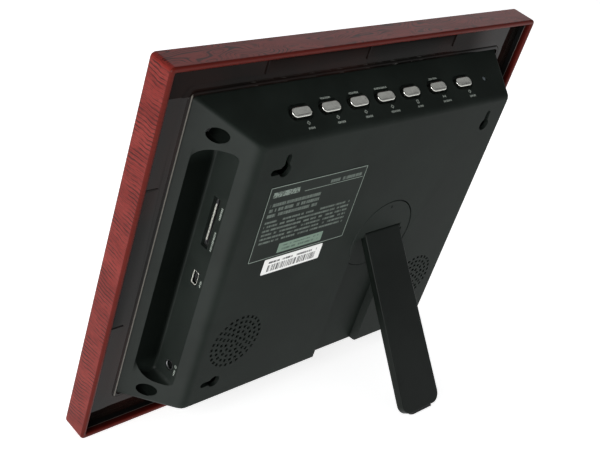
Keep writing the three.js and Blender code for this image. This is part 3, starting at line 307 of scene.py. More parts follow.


def wood_film(s):
    """Glossy wood-look film: dense grain crosses the sides and swirls on the top and bottom; its inner walls carry
    painted shade and a painted highlight line.
    """
    material, graph, shader, place = new_material("Wood film", s.wood_color, 0.3)
    parts = graph.split(place)
    facing = graph.add("ShaderNodeNewGeometry").outputs["Normal"]
    level = graph.add("ShaderNodeVectorMath", operation="DOT_PRODUCT")
    graph.feed(level.inputs[0], facing)
    level.inputs[1].default_value = UP
    flat = graph.ramp(graph.math("ABSOLUTE", level.outputs["Value"]), 0.6, 0.85, 0.0, 1.0)
    bend = graph.noise(graph.vector("MULTIPLY", place, (0.012, 0.05, 0.016)), 1.0, 2.0, 0.5)
    sway = graph.noise(graph.vector("MULTIPLY", place, (0.03, 0.14, 0.06)), 1.0, 3.0, 0.6)
    swirl = graph.noise(graph.vector("MULTIPLY", place, (0.03, 0.085, 0.05)), 1.0, 1.0, 0.4)
    height = graph.math("MULTIPLY", parts[2], 1.0 / s.grain_pitch)
    height = graph.math("MULTIPLY_ADD", bend, 3.2, height)
    height = graph.math("MULTIPLY_ADD", sway, 0.55, height)
    height = graph.math("MULTIPLY_ADD", graph.math("MULTIPLY", swirl, flat), 22.0, height)

    def lines(rate, low, high):
        wave = graph.math("SINE", graph.math("MULTIPLY", height, rate * 2 * math.pi))
        return graph.ramp(wave, low, high, 0.0, 1.0)

    streaks = graph.noise(graph.vector("MULTIPLY", place, (0.05, 0.3, 1.6)), 1.0, 3.0, 0.65)
    broken = graph.noise(graph.vector("MULTIPLY", place, (0.03, 0.10, 0.10)), 1.0, 3.0)
    broken = graph.ramp(broken, 0.36, 0.6, 0.1, 1)
    fine = graph.math("MULTIPLY", lines(1.0, 0.1, 0.95), broken)
    finer = graph.math("MULTIPLY", lines(2.37, 0.3, 0.95), graph.ramp(streaks, 0.36, 0.62, 0.0, 0.7))
    ink = graph.math("MAXIMUM", fine, finer)
    bands = graph.noise(graph.join(0, 0, graph.math("MULTIPLY_ADD", bend, 20.0, parts[2])), 0.07, 2.0)
    red = tuple(s.wood_color)
    deep = tuple(s.wood_dark)
    light = tuple(s.wood_light)
    ground = graph.mix(graph.ramp(bands, 0.35, 0.65, 0, 1), (*red, 1), (*light, 1))
    ground = graph.mix(graph.math("MULTIPLY", streaks, 0.4), ground, (*deep, 1))
    tone = graph.mix(graph.math("MULTIPLY", ink, 0.9), ground, (*deep, 1))
    rim = graph.ramp(parts[1], RIM_START, RIM_FULL, 0.0, 0.88)
    tone = graph.mix(rim, tone, RIM_RED)
    # Inner walls: painted shade, darker than the outer faces and black from the panel up to SEAM_DEPTH, with a
    # painted highlight line along that edge.
    in_x = graph.math("LESS_THAN", graph.math("ABSOLUTE", parts[0]), INNER_HALF_W)
    above = graph.math("ABSOLUTE", graph.math("SUBTRACT", parts[2], FRAME_MIDDLE_Z))
    in_z = graph.math("LESS_THAN", above, INNER_HALF_H)
    behind_lip = graph.math("GREATER_THAN", parts[1], LIP_BACK)
    inner = graph.math("MULTIPLY", graph.math("MULTIPLY", in_x, in_z), behind_lip)
    shaded = graph.ramp(parts[1], SEAM_DEPTH - 0.2, SEAM_DEPTH, 0, 1)
    wall = graph.mix(shaded, (0.006, 0.006, 0.006, 1), (0.030, 0.003, 0.002, 1))
    wall = graph.mix(graph.ramp(parts[1], 12.8, 15.4, 0, 1), wall, (0.07, 0.007, 0.005, 1))
    painted_seam_highlight = graph.math("COMPARE", parts[1], SEAM_DEPTH, 0.16)
    wall = graph.mix(graph.math("MULTIPLY", painted_seam_highlight, 0.7), wall, (0.16, 0.15, 0.14, 1))
    graph.feed(shader.inputs["Base Color"], graph.mix(inner, tone, wall))
    surface = graph.group(group_tree("moulded"), Vector=place, Grain=0.9, Patch=0.06)
    uneven = graph.math("MULTIPLY_ADD", surface["Mottle"], 0.12, s.wood_rough - 0.06)
    graph.feed(shader.inputs["Roughness"], uneven)
    shader.inputs["Specular IOR Level"].default_value = 0.07
    shader.inputs["Coat Weight"].default_value = 0.06
    shader.inputs["Coat Roughness"].default_value = 0.12
    bump(graph, shader, surface["Mottle"], 0.12, 0.0004)
    return material


# The housing's painted shade: inside both screw wells below their lip, and on the pocket's ledge.
SCREW_WELLS = ((102.9, 186.6), (102.9, 28.0))
WELL_REACH = 4.06
WELL_LIP = 0.5                                      # depth of a well's edge left out of the painted shade, so it stays light
PORT_SIDE_FALL = 1.114                              # fall of the port side, depth per width
PORT_SIDE_LEVEL = 135.97
POCKET_MIDDLE_Z = 107.0
LEDGE_MIDDLE_X, LEDGE_HALF_W = 102.1, 7.4


def housing_plastic(s):
    """Matt moulding of the rear housing, with painted shade down in the screw wells and on the pocket's ledge, and
    a painted sheen on faces turned to the port side.
    """
    material = moulded_plastic("Housing moulding", tuple(s.housing_color), s.housing_rough, grain=2.4,
                               relief=0.22, dust=0.01)
    graph = Graph(material.node_tree)
    nodes = material.node_tree.nodes
    shader = next(n for n in nodes if n.type == "BSDF_PRINCIPLED")
    tone = shader.inputs["Base Color"].links[0].from_socket
    coords = graph.add("ShaderNodeTexCoord")
    parts = graph.split(graph.group(group_tree("axes"), Vector=coords.outputs["Object"])["Vector"])

    # Painted shade: the ledge and the screw wells are darkened in colour and lose most of their specular.
    off_middle = graph.math("ABSOLUTE", graph.math("SUBTRACT", parts[2], POCKET_MIDDLE_Z))
    on_ledge = graph.math("COMPARE", parts[0], LEDGE_MIDDLE_X, LEDGE_HALF_W)
    shade = graph.math("MULTIPLY", graph.ramp(parts[1], 14.3, 16.2, 1, 0), on_ledge)
    shade = graph.math("MULTIPLY", shade, graph.ramp(off_middle, 60.0, 71.5, 1, 0))
    depth = graph.math("MULTIPLY_ADD", parts[0], PORT_SIDE_FALL, parts[1])
    sunk = graph.math("LESS_THAN", depth, PORT_SIDE_LEVEL - WELL_LIP)
    for x, z in SCREW_WELLS:
        dx = graph.math("SUBTRACT", parts[0], x)
        dz = graph.math("SUBTRACT", parts[2], z)
        squares = graph.math("ADD", graph.math("MULTIPLY", dx, dx), graph.math("MULTIPLY", dz, dz))
        far = graph.math("SQRT", squares)
        well = graph.math("MULTIPLY", graph.math("LESS_THAN", far, WELL_REACH), sunk)
        shade = graph.math("MAXIMUM", shade, well)
    painted_shade_color = tuple(c * 0.25 for c in s.housing_color)
    graph.feed(shader.inputs["Base Color"], graph.mix(graph.math("MULTIPLY", shade, 0.85), tone, (*painted_shade_color, 1)))
    # Painted sheen: specular raised on faces turned to the port side.
    sideways = graph.split(graph.add("ShaderNodeNewGeometry").outputs["Normal"])[0]
    level = graph.ramp(sideways, 0.3, 0.75, 0.055, 0.24)
    level = graph.math("ADD", level, graph.math("MULTIPLY", shade, -0.24))
    graph.feed(shader.inputs["Specular IOR Level"], graph.math("MAXIMUM", level, 0.005))
    return material


BEAD_DEPTH = 10.5
PORT_BEAD_X = 114.5
HOUSING_TOP_Z = 202.0


def gloss_panel(s):
    """Mirror-gloss moulding with fine wipe marks, a painted highlight on the bead by the ports, and less sheen
    above the housing as painted shade in its reflection.
    """
    material, graph, shader, place = new_material("Gloss panel", s.panel_color, 0.05, Specular_IOR_Level=0.26)
    surface = graph.group(group_tree("moulded"), Vector=place, Grain=1.4, Patch=0.03)
    settled = graph.group(group_tree("dust"), Vector=place, Amount=0.02)["Mask"]
    warm = graph.noise(graph.vector("MULTIPLY", place, (0.02, 0.3, 0.02)), 1.0, 2.0)
    tone = graph.mix(graph.ramp(warm, 0.35, 0.7, 0, 1), (*s.panel_color, 1), (0.012, 0.005, 0.004, 1))
    parts = graph.split(place)
    # Painted highlight along the top of the bead beside the port side.
    raised = graph.math("GREATER_THAN", parts[1], BEAD_DEPTH)
    painted_bead_highlight = graph.math("MULTIPLY", raised, graph.math("COMPARE", parts[0], PORT_BEAD_X, 0.45))
    tone = graph.mix(graph.math("MULTIPLY", painted_bead_highlight, 0.8), tone, (0.16, 0.15, 0.13, 1))
    graph.feed(shader.inputs["Base Color"], graph.mix(settled, tone, (0.3, 0.3, 0.3, 1)))
    # Painted shade in the reflection: sheen lowered above the housing's top, fading out towards the frame's far
    # side.
    over = graph.math("GREATER_THAN", parts[2], HOUSING_TOP_Z)
    top = graph.math("MULTIPLY", over, graph.ramp(parts[0], -112.0, -84.0, 0, 1))
    sheen = graph.math("MULTIPLY_ADD", top, -0.12, 0.16)
    graph.feed(shader.inputs["Specular IOR Level"], sheen)
    graph.feed(shader.inputs["Roughness"], graph.math("MULTIPLY_ADD", surface["Rub"], 0.05, 0.04))
    bump(graph, shader, surface["Mottle"], 0.05, 0.0006)
    return material


def plated(name, color, rough):
    """Satin-plated metal with short brushing marks."""
    material, graph, shader, place = new_material(name, color, rough, metal=1.0)
    brushed = graph.noise(graph.vector("MULTIPLY", place, (0.6, 6.0, 6.0)), 1.0, 3.0, 0.7)
    mottle = graph.noise(place, 0.4, 3.0)
    graph.feed(shader.inputs["Roughness"], graph.math("MULTIPLY_ADD", brushed, 0.16, rough - 0.08))
    darker = tuple(c * 0.8 for c in color)
    tone = graph.mix(graph.ramp(mottle, 0.3, 0.7, 0, 0.6), (*color, 1), (*darker, 1))
    graph.feed(shader.inputs["Base Color"], tone)
    bump(graph, shader, brushed, 0.08, 0.00005)
    return material


def circuit_board():
    """Green solder mask with copper tracks under it and pale pads."""
    material, graph, shader, place = new_material("Circuit board", (0.03, 0.16, 0.07), 0.35)
    cells = graph.add("ShaderNodeTexVoronoi", distance="CHEBYCHEV", feature="F1")
    graph.feed(cells.inputs["Vector"], place)
    cells.inputs["Scale"].default_value = 0.22
    tracks = graph.math("FRACT", graph.math("MULTIPLY", cells.outputs["Distance"], 5.0))
    tracks = graph.ramp(tracks, 0.4, 0.5, 0, 1)
    pads = graph.ramp(cells.outputs["Distance"], 0.10, 0.08, 0.0, 1.0)
    tone = graph.mix(tracks, (0.02, 0.13, 0.05, 1), (0.05, 0.26, 0.10, 1))
    graph.feed(shader.inputs["Base Color"], graph.mix(pads, tone, (0.55, 0.52, 0.42, 1)))
    bump(graph, shader, tracks, 0.2, 0.00004)
    return material


def soft_foam(name, color, scale):
    """Open-cell foam or rubber: small pits in a matt surface, darkened with painted shade."""
    material, graph, shader, place = new_material(name, color, 0.85)
    pits = graph.add("ShaderNodeTexVoronoi", feature="F1")
    graph.feed(pits.inputs["Vector"], place)
    pits.inputs["Scale"].default_value = scale
    shade = graph.ramp(pits.outputs["Distance"], 0.1, 0.6, 0.5, 1.0)
    graph.feed(shader.inputs["Base Color"], graph.mix(shade, (0, 0, 0, 1), (*color, 1)))
    graph.feed(shader.inputs["Roughness"], graph.math("MULTIPLY_ADD", shade, 0.15, 0.7))
    bump(graph, shader, pits.outputs["Distance"], 0.4, 0.0002)
    return material


def card_stock(name, color):
    """Mat board or paper: short felted fibres and a slight tooth."""
    material, graph, shader, place = new_material(name, color, 0.85)
    fibre = graph.noise(graph.vector("MULTIPLY", place, (2.2, 2.2, 5.0)), 1.0, 4.0, 0.7)
    darker = tuple(c * 0.88 for c in color)
    tone = graph.mix(graph.ramp(fibre, 0.35, 0.7, 0, 1), (*color, 1), (*darker, 1))
    graph.feed(shader.inputs["Base Color"], tone)
    graph.feed(shader.inputs["Roughness"], graph.math("MULTIPLY_ADD", fibre, 0.1, 0.78))
    bump(graph, shader, fibre, 0.2, 0.0001)
    return material


def clear_glass():
    """Polished cover glass with faint smears."""
    material, graph, shader, place = new_material("Clear glass", (0.95, 0.97, 0.97), 0.02,
                                                  Transmission_Weight=1.0, IOR=1.5)
    smears = graph.noise(graph.vector("MULTIPLY", place, (0.05, 0.2, 0.02)), 1.0, 4.0, 0.6)
    graph.feed(shader.inputs["Roughness"], graph.ramp(smears, 0.5, 0.8, 0.01, 0.07))
    return material


def dark_screen():
    """Switched-off display: deep blue-black polariser with a fine pixel pitch in its sheen."""
    material, graph, shader, place = new_material("Dark screen", (0.008, 0.009, 0.012), 0.3)
    parts = graph.split(place)
    across = graph.math("SINE", graph.math("MULTIPLY", parts[0], 12.0))
    along = graph.math("SINE", graph.math("MULTIPLY", parts[2], 12.0))
    grid = graph.math("MULTIPLY", across, along)
    graph.feed(shader.inputs["Roughness"], graph.math("MULTIPLY_ADD", grid, 0.03, 0.3))
    cloud = graph.noise(place, 0.02, 2.0)
    tone = graph.mix(cloud, (0.006, 0.007, 0.009, 1), (0.012, 0.013, 0.018, 1))
    graph.feed(shader.inputs["Base Color"], tone)
    return material


def label_print(s):
    """Print on the housing: a thin outline, a heading rule, rows of small print and a pale block."""
    material, graph, shader, place = new_material("Label print", s.housing_color, 0.42,
                                                  Specular_IOR_Level=0.06)
    low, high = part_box("rating_label")
    size_x = (high.x - low.x) * 1000
    centre = middle("rating_label")
    x0 = centre.x * 1000 + size_x / 2
    z1 = (centre - ORIGIN).dot(UP) * 1000 + s.label_height / 2
    parts = graph.split(place)
    across = graph.math("SUBTRACT", x0, parts[0])
    down = graph.math("SUBTRACT", z1, parts[2])

    def strip(value, a, b):
        return graph.math("COMPARE", value, (a + b) / 2, abs(b - a) / 2)

    def block(a0, a1, d0, d1):
        return graph.math("MULTIPLY", strip(across, a0, a1), strip(down, d0, d1))

    def any_of(*masks):
        total = masks[0]
        for mask in masks[1:]:
            total = graph.math("MAXIMUM", total, mask)
        return total

    w = size_x
    h = s.label_height
    edge = 0.45
    outline = any_of(strip(across, 0.1, 0.1 + edge), strip(across, w - 0.1 - edge, w - 0.1),
                     strip(down, 0.1, 0.1 + edge), strip(down, h - 0.1 - edge, h - 0.1))
    rule = block(w * 0.36, w - 1.5, 6.6, 6.95)
    heading = graph.group(group_tree("rows"), Across=across, Down=down, Pitch=3.2, Fill=0.62)["Mask"]
    body = graph.group(group_tree("rows"), Across=across, Down=down, Pitch=2.55, Fill=0.5)["Mask"]
    mark = block(3.0, 21.0, 3.4, 6.6)
    mark = graph.math("MULTIPLY", mark, graph.ramp(graph.noise(place, 1.1, 1.0), 0.42, 0.5, 0.35, 1.0))
    rows = any_of(graph.math("MULTIPLY", heading, block(3, 38, 9.6, 19.2)),
                  graph.math("MULTIPLY", body, block(3, w - 5, 20.4, 35.7)),
                  graph.math("MULTIPLY", heading, block(w * 0.62, w - 3, 3.2, 6.0)))
    pale = block(19, 51, 38.0, h - 2.0)
    pale_rows = graph.math("MULTIPLY", body, block(22, 48, 39.4, h - 2.6))
    ink = any_of(outline, rule, graph.math("MULTIPLY", rows, 0.55), mark)
    surface = graph.group(group_tree("moulded"), Vector=place, Grain=3.0)
    lighter = [c * 1.5 + 0.004 for c in s.housing_color]
    ground = graph.mix(surface["Mottle"], (*s.housing_color, 1), (*lighter, 1))
    tone = graph.mix(ink, ground, (*s.ink_color, 1))
    tone = graph.mix(pale, tone, (*s.pale_ink, 1))
    tone = graph.mix(graph.math("MULTIPLY", pale_rows, 0.6), tone, (0.03, 0.04, 0.035, 1))
    graph.feed(shader.inputs["Base Color"], tone)
    graph.feed(shader.inputs["Roughness"], graph.math("MULTIPLY_ADD", ink, -0.08, 0.48))
    bump(graph, shader, surface["Height"], 0.15, 0.0001)
    return material


def code_paper():
    """White sticker with a plain bar pattern and a row of small print above it."""
    material, graph, shader, place = new_material("Code sticker", (0.85, 0.85, 0.83), 0.5)
    centre = middle("code_sticker")
    z0 = (centre - ORIGIN).dot(UP) * 1000
    parts = graph.split(place)
    up = graph.math("SUBTRACT", parts[2], z0)
    bars = graph.noise(graph.join(parts[0], 0, 0), 1.7, 0.0)
    bars = graph.ramp(bars, 0.49, 0.51, 0.0, 1.0)
    inside = graph.math("COMPARE", graph.math("SUBTRACT", parts[0], centre.x * 1000), 0.0, 17.5)
    low = graph.math("COMPARE", up, -1.5, 2.2)
    shifted = graph.math("ADD", up, 100)
    digits = graph.group(group_tree("rows"), Across=parts[0], Down=shifted, Pitch=4.0, Fill=0.5)["Mask"]
    top = graph.math("COMPARE", up, 2.7, 1.0)
    ink = graph.math("MULTIPLY", inside, graph.math("MAXIMUM", graph.math("MULTIPLY", bars, low),
                                                  graph.math("MULTIPLY", digits, top)))
    fibre = graph.noise(place, 3.0, 3.0)
    ground = graph.mix(fibre, (0.86, 0.86, 0.84, 1), (0.78, 0.78, 0.76, 1))
    graph.feed(shader.inputs["Base Color"], graph.mix(ink, ground, (0.02, 0.02, 0.02, 1)))
    graph.feed(shader.inputs["Roughness"], graph.math("MULTIPLY_ADD", fibre, 0.1, 0.45))
    return material


def material_for(slot):
    """The material of one of the record's slots, made the first time it is asked for."""
    s = bpy.context.scene.photo_frame
    makers = {
        "wood_film": lambda: wood_film(s),
        "clear_glass": clear_glass,
        "mat_card": lambda: card_stock("Mat board", (0.80, 0.77, 0.70)),
        "bare_steel": lambda: plated("Zinc-plated steel", (0.62, 0.62, 0.63), 0.34),
        "dark_screen": dark_screen,
        "circuit_board": circuit_board,
        "chip_plastic": lambda: moulded_plastic("Chip moulding", (0.014, 0.014, 0.015), 0.5, grain=6.0),
        "cable_film": lambda: moulded_plastic("Cable film", (0.45, 0.24, 0.05), 0.3, grain=1.0, relief=0.1),
        "gloss_black": lambda: gloss_panel(s),
        "matt_black": lambda: housing_plastic(s),
        "leg_black": lambda: moulded_plastic("Leg moulding", tuple(s.leg_color), 0.34, grain=3.2, relief=0.10,
                                             dust=0.01, Specular_IOR_Level=0.14),
        "silver_cap": lambda: plated("Bright plating", tuple(s.cap_color), 0.17),
        "lamp_plastic": lambda: moulded_plastic("Lamp lens", (0.10, 0.12, 0.13), 0.15, grain=0.5,
                                                relief=0.05),
        "label_print": lambda: label_print(s),
        "label_paper": code_paper,
        "foam_ring": lambda: soft_foam("Gasket foam", (0.03, 0.03, 0.03), 1.6),
        "foot_rubber": lambda: soft_foam("Foot rubber", (0.02, 0.02, 0.02), 1.0),
        "contact_metal": lambda: moulded_plastic("Contact metal", (0.60, 0.60, 0.54), 0.3, grain=6.0,
                                                 relief=0.05, dust=0.0, metal=0.3),
        "print_ink": lambda: moulded_plastic("White print", (0.29, 0.325, 0.29), 0.5, grain=4.0, relief=0.1),
    }
    if slot not in MATERIALS:
        MATERIALS[slot] = makers[slot]()
    return MATERIALS[slot]


SLOT_OF = {p["node"]: p["material_slot"] for p in frame["record"]["subparts"]}


def finish_nodes(*names):
    """Gives carried-over CAD nodes the material of their slot."""
    for name in names:
        node = NODES[name]
        node.data.materials.clear()
        node.data.materials.append(material_for(SLOT_OF[name]))


def smooth_copy(node, body, angle=28.0):
    """A copy of a CAD node with merged corners and rounded shading, shown in its place."""
    source = NODES[node]
    mesh = source.data.copy()
    mesh.name = node + "_finished"
    work = bmesh.new()
    work.from_mesh(mesh)
    bmesh.ops.remove_doubles(work, verts=work.verts, dist=2e-6)
    bmesh.ops.dissolve_limit(work, angle_limit=math.radians(0.4), verts=work.verts, edges=work.edges)
    bmesh.ops.recalc_face_normals(work, faces=work.faces)
    work.to_mesh(mesh)
    work.free()
    mesh.shade_smooth()
    mesh.set_sharp_from_angle(angle=math.radians(angle))
    piece = bpy.data.objects.new(node + "_finished", mesh)
    bpy.context.scene.collection.objects.link(piece)
    weighted = piece.modifiers.new("Even shading", "WEIGHTED_NORMAL")
    weighted.keep_sharp = True
    weighted.weight = 60
    mesh.materials.clear()
    mesh.materials.append(material_for(SLOT_OF[node]))
    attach(piece, body)
    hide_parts(node)
    return piece


# ---------------------------------------------------------------- printed marks


def slab_shape(work, corners, origin, across, along, out, lift, thick):
    """One flat printed shape: its outline in millimetres, pushed out by its ink thickness."""
    base = [origin + (across * a + along * b) / 1000 + out * lift for a, b in corners]
    low = [work.verts.new(p) for p in base]
    high = [work.verts.new(p + out * thick) for p in base]
    work.faces.new(high)
    work.faces.new(list(reversed(low)))
    count = len(low)
    for i in range(count):
        j = (i + 1) % count
        work.faces.new((low[i], low[j], high[j], high[i]))


def bar(cx, cy, w, h):
    x0, x1, y0, y1 = cx - w / 2, cx + w / 2, cy - h / 2, cy + h / 2
    return [(x0, y0), (x1, y0), (x1, y1), (x0, y1)]


def ring_of(points, inner):
    """Quads that draw an outline: each side of the shape as its own bar towards the centre."""
    cx = sum(p[0] for p in points) / len(points)
    cy = sum(p[1] for p in points) / len(points)
    shrunk = [(cx + (x - cx) * inner, cy + (y - cy) * inner) for x, y in points]
    count = len(points)
    return [[points[i], points[(i + 1) % count], shrunk[(i + 1) % count], shrunk[i]] for i in range(count)]


def tiny_word(cx, cy, length, height, seed):
    """A word too small to read: uneven upright strokes with gaps between them."""
    shapes = []
    x = cx - length / 2
    step = 0
    while x < cx + length / 2:
        k = (seed * 7 + step * 5) % 4
        w = 0.42 + 0.16 * k
        tall = height * (0.72 + 0.09 * ((seed + step * 3) % 4))
        shapes.append(bar(x + w / 2, cy, w * 0.72, tall))
        x += w + 0.22
        step += 1
    return shapes


def diamond(cx, cy, r):
    return ring_of([(cx, cy - r), (cx + r, cy), (cx, cy + r), (cx - r, cy)], 0.62)


def square_mark(cx, cy, r):
    return ring_of(bar(cx, cy, r * 1.5, r * 1.9), 0.6)


def arrows(cx, cy, r):
    return [[(cx, cy), (cx + r, cy + r * 0.7), (cx + r, cy - r * 0.7)],
            [(cx, cy), (cx - r, cy - r * 0.7), (cx - r, cy + r * 0.7)]]


def print_piece(name, shapes, origin, across, along, out, body="frame"):
    s = bpy.context.scene.photo_frame
    work = bmesh.new()
    for corners in shapes:
        slab_shape(work, corners, origin, across, along, out, 0.00001, s.ink_thickness / 1000)
    bmesh.ops.recalc_face_normals(work, faces=work.faces)
    mesh = bpy.data.meshes.new(name)
    work.to_mesh(mesh)
    work.free()
    piece = bpy.data.objects.new(name, mesh)
    bpy.context.scene.collection.objects.link(piece)
    mesh.materials.append(material_for("print_ink"))
    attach(piece, body)
    return piece


# ---------------------------------------------------------------- printed and metal details

BUTTON_FACE = (0, 23.15, 194.5)                     # a point on the sloping face of the buttons
WALL_X = 94.5                                       # the pocket's inner wall, where the ports are
PRINT_DEPTH = 29.0
PORT_DEPTH = 24.0
CARD_MIDDLE = 138.2
TOOTH_COUNT, TOOTH_PITCH = 11, 1.95
USB_MIDDLE = 103.6
POWER_MIDDLE = 45.0
INLET_R = 2.6


def hoop(work, path, radius, sides=6):
    """A round wire bent along a closed path."""
    centre = sum(path, Vector()) / len(path)
    axis = (path[0] - centre).cross(path[len(path) // 4] - centre).normalized()
    rings = []
    for i, point in enumerate(path):
        along = (path[(i + 1) % len(path)] - path[i - 1]).normalized()
        side = along.cross(axis)
        angles = [math.tau * k / sides for k in range(sides)]
        rings.append([work.verts.new(point + radius * (math.cos(t) * side + math.sin(t) * axis))
                      for t in angles])
    for i, ring in enumerate(rings):
        after = rings[(i + 1) % len(rings)]
        for k in range(sides):
            work.faces.new((ring[k], ring[(k + 1) % sides], after[(k + 1) % sides], after[k]))


def metal_piece(work, name, look="bare_steel", body="frame"):
    bmesh.ops.recalc_face_normals(work, faces=work.faces)
    mesh = bpy.data.meshes.new(name)
    work.to_mesh(mesh)
    work.free()
    mesh.shade_smooth()
    mesh.set_sharp_from_angle(angle=math.radians(50))
    piece = bpy.data.objects.new(name, mesh)
    bpy.context.scene.collection.objects.link(piece)
    mesh.materials.append(material_for(look))
    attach(piece, body)
    return piece


# ---------------------------------------------------------------- settings


class PhotoFrameSettings(bpy.types.PropertyGroup):
    """Sizes and colours of the photo frame's finishes."""

    wood_color: FloatVectorProperty(name="Wood red", description="Ground colour of the wood film",
                                    default=(0.185, 0.0185, 0.0145), subtype="COLOR", min=0, max=1)
    wood_light: FloatVectorProperty(name="Wood light", description="Lighter patches of the wood film",
                                    default=(0.265, 0.034, 0.027), subtype="COLOR", min=0, max=1)
    wood_dark: FloatVectorProperty(name="Wood grain", description="Colour of the grain lines",
                                   default=(0.028, 0.007, 0.006), subtype="COLOR", min=0, max=1)
    wood_rough: FloatProperty(name="Wood roughness", description="Roughness under the clear coat",
                              default=0.34, min=0, max=1, subtype="FACTOR")
    grain_pitch: FloatProperty(name="Grain pitch", description="Distance between grain lines, in millimetres",
                               default=2.2, min=1, max=20)
    panel_color: FloatVectorProperty(name="Panel colour", description="Gloss panel round the housing",
                                     default=(0.004, 0.0035, 0.003), subtype="COLOR", min=0, max=1)
    housing_color: FloatVectorProperty(name="Housing colour", description="Matt rear housing",
                                       default=(0.0092, 0.0124, 0.0104), subtype="COLOR", min=0, max=1)
    housing_rough: FloatProperty(name="Housing roughness", description="Roughness of the rear housing",
                                 default=0.5, min=0, max=1, subtype="FACTOR")
    leg_color: FloatVectorProperty(name="Leg colour", description="Stand leg",
                                   default=(0.0040, 0.0058, 0.0046), subtype="COLOR", min=0, max=1)
    cap_color: FloatVectorProperty(name="Button colour", description="Plating of the push buttons",
                                   default=(0.80, 0.80, 0.74), subtype="COLOR", min=0, max=1)
    ink_color: FloatVectorProperty(name="Ink colour", description="Print on the rating label",
                                   default=(0.20, 0.24, 0.21), subtype="COLOR", min=0, max=1)
    pale_ink: FloatVectorProperty(name="Pale block", description="Pale printed block on the rating label",
                                  default=(0.17, 0.24, 0.19), subtype="COLOR", min=0, max=1)
    ink_thickness: FloatProperty(name="Ink thickness", description="Relief of printed marks, in millimetres",
                                 default=0.03, min=0.005, max=0.2)
    label_height: FloatProperty(name="Label height", description="Height of the rating label, in millimetres",
                                default=46.0, min=10, max=100)
    floor_size: FloatProperty(name="Floor size", description="Side of the floor", default=12.0, min=1,
                              unit="LENGTH")
    floor_glow: FloatProperty(name="Floor glow", description="Own light of the studio floor", default=0.80,
                              min=0, max=2)
    room_light: FloatProperty(name="Room light", description="Strength of the studio surround", default=0.7,
                              min=0, max=4)
    key_power: FloatProperty(name="Key light", description="Power of the main soft light, in watts",
                             default=19.0, min=0)
    lens: FloatProperty(name="Lens", description="Camera focal length, in millimetres", default=66.26, min=10)
    roll: FloatProperty(name="Camera roll", description="Turn of the camera about its line of sight",
                        default=math.radians(3.843), subtype="ANGLE")


# ---------------------------------------------------------------- operators


class FrameOperator:
    bl_options = {"REGISTER", "UNDO"}


class PF_OT_wood_frame(FrameOperator, bpy.types.Operator):
    """Wood-look frame with its rounded rim"""

    bl_idname = "photo_frame.wood_frame"
    bl_label = "Wood frame"

    def execute(self, context):
        smooth_copy("wood_frame", "frame", 32)
        return {"FINISHED"}


class PF_OT_picture_side(FrameOperator, bpy.types.Operator):
    """Cover glass, mat board and display"""

    bl_idname = "photo_frame.picture_side"
    bl_label = "Picture side"

    def execute(self, context):
        finish_nodes("front_glass", "mat_border", "lcd_frame", "lcd_cell")
        return {"FINISHED"}


class PF_OT_inner_works(FrameOperator, bpy.types.Operator):
    """Chassis, boards, speakers and screws inside the housing"""

    bl_idname = "photo_frame.inner_works"
    bl_label = "Inner works"

    def execute(self, context):
        shown = {"wood_frame", "front_glass", "mat_border", "lcd_frame", "lcd_cell", "back_panel",
                 "rear_housing", "rating_label", "code_sticker", "turntable_disc", "stand_leg",
                 "leg_foot_pad", "status_lamp"}
        inner = [n for n in NODES
                 if n not in shown and not n.startswith("button_") or n.startswith("button_board")]
        finish_nodes(*inner)
        return {"FINISHED"}


class PF_OT_back_panel(FrameOperator, bpy.types.Operator):
    """Gloss panel between the frame's walls and the housing"""

    bl_idname = "photo_frame.back_panel"
    bl_label = "Back panel"

    def execute(self, context):
        smooth_copy("back_panel", "frame", 32)
        return {"FINISHED"}


class PF_OT_rear_housing(FrameOperator, bpy.types.Operator):
    """Matt rear housing with its pocket, wells, keyholes and grilles"""

    bl_idname = "photo_frame.rear_housing"
    bl_label = "Rear housing"

    def execute(self, context):
        smooth_copy("rear_housing", "frame", 26)
        return {"FINISHED"}


class PF_OT_labels(FrameOperator, bpy.types.Operator):
    """Rating label and code sticker"""

    bl_idname = "photo_frame.labels"
    bl_label = "Labels"

    def execute(self, context):
        finish_nodes("rating_label", "code_sticker")
        return {"FINISHED"}


class PF_OT_buttons(FrameOperator, bpy.types.Operator):
    """Plated push buttons and the status lamp"""

    bl_idname = "photo_frame.buttons"
    bl_label = "Buttons"

    def execute(self, context):
        for i in range(1, 8):
            smooth_copy(f"button_{i}", f"button_{i}_body", 40)
        finish_nodes("status_lamp")
        return {"FINISHED"}


class PF_OT_marks(FrameOperator, bpy.types.Operator):
    """Small printed marks beside the buttons and ports"""

    bl_idname = "photo_frame.marks"
    bl_label = "Printed marks"

    def execute(self, context):
        out = next(j for j in frame["joints"] if j["name"] == "button_1_press")
        out = -Vector(out["axis"]).normalized()
        across = Vector((-1, 0, 0))
        along = out.cross(across)
        if along.z > 0:
            along = -along
        surface = at(*BUTTON_FACE)
        shapes = []
        for i in range(1, 8):
            x = -middle(f"button_{i}").x * 1000
            row = (middle(f"button_{i}") - surface).dot(along) * 1000
            symbol = [diamond, diamond, diamond, diamond, square_mark, arrows, diamond][i - 1]
            shapes += symbol(x + 1.6, row + 6.1, 1.15)
            shapes += tiny_word(x + 2.1, row + 9.0, 4.6 if i in (1, 2, 3, 5, 7) else 6.4, 1.25, i)
            if i in (2, 3, 4, 6):
                shapes += tiny_word(x - 0.6, row - 5.2, 6.5 if i != 4 else 9.0, 1.25, i + 9)
        print_piece("button_marks", shapes, surface, across, along, out)
        wall = at(WALL_X, 0, 0)
        side = []
        for z, length, seed in ((145.9, 6.6, 3), (129.4, 11.5, 5)):
            side += tiny_word(-z, PRINT_DEPTH, length, 1.3, seed)
        side += tiny_word(-103.2, PRINT_DEPTH, 3.6, 1.1, 8)
        side += diamond(-47.5, 28.8, 1.0)
        side += tiny_word(-43.5, 28.9, 3.6, 1.1, 4)
        print_piece("port_marks", side, wall, -UP, BACK, ACROSS)
        return {"FINISHED"}


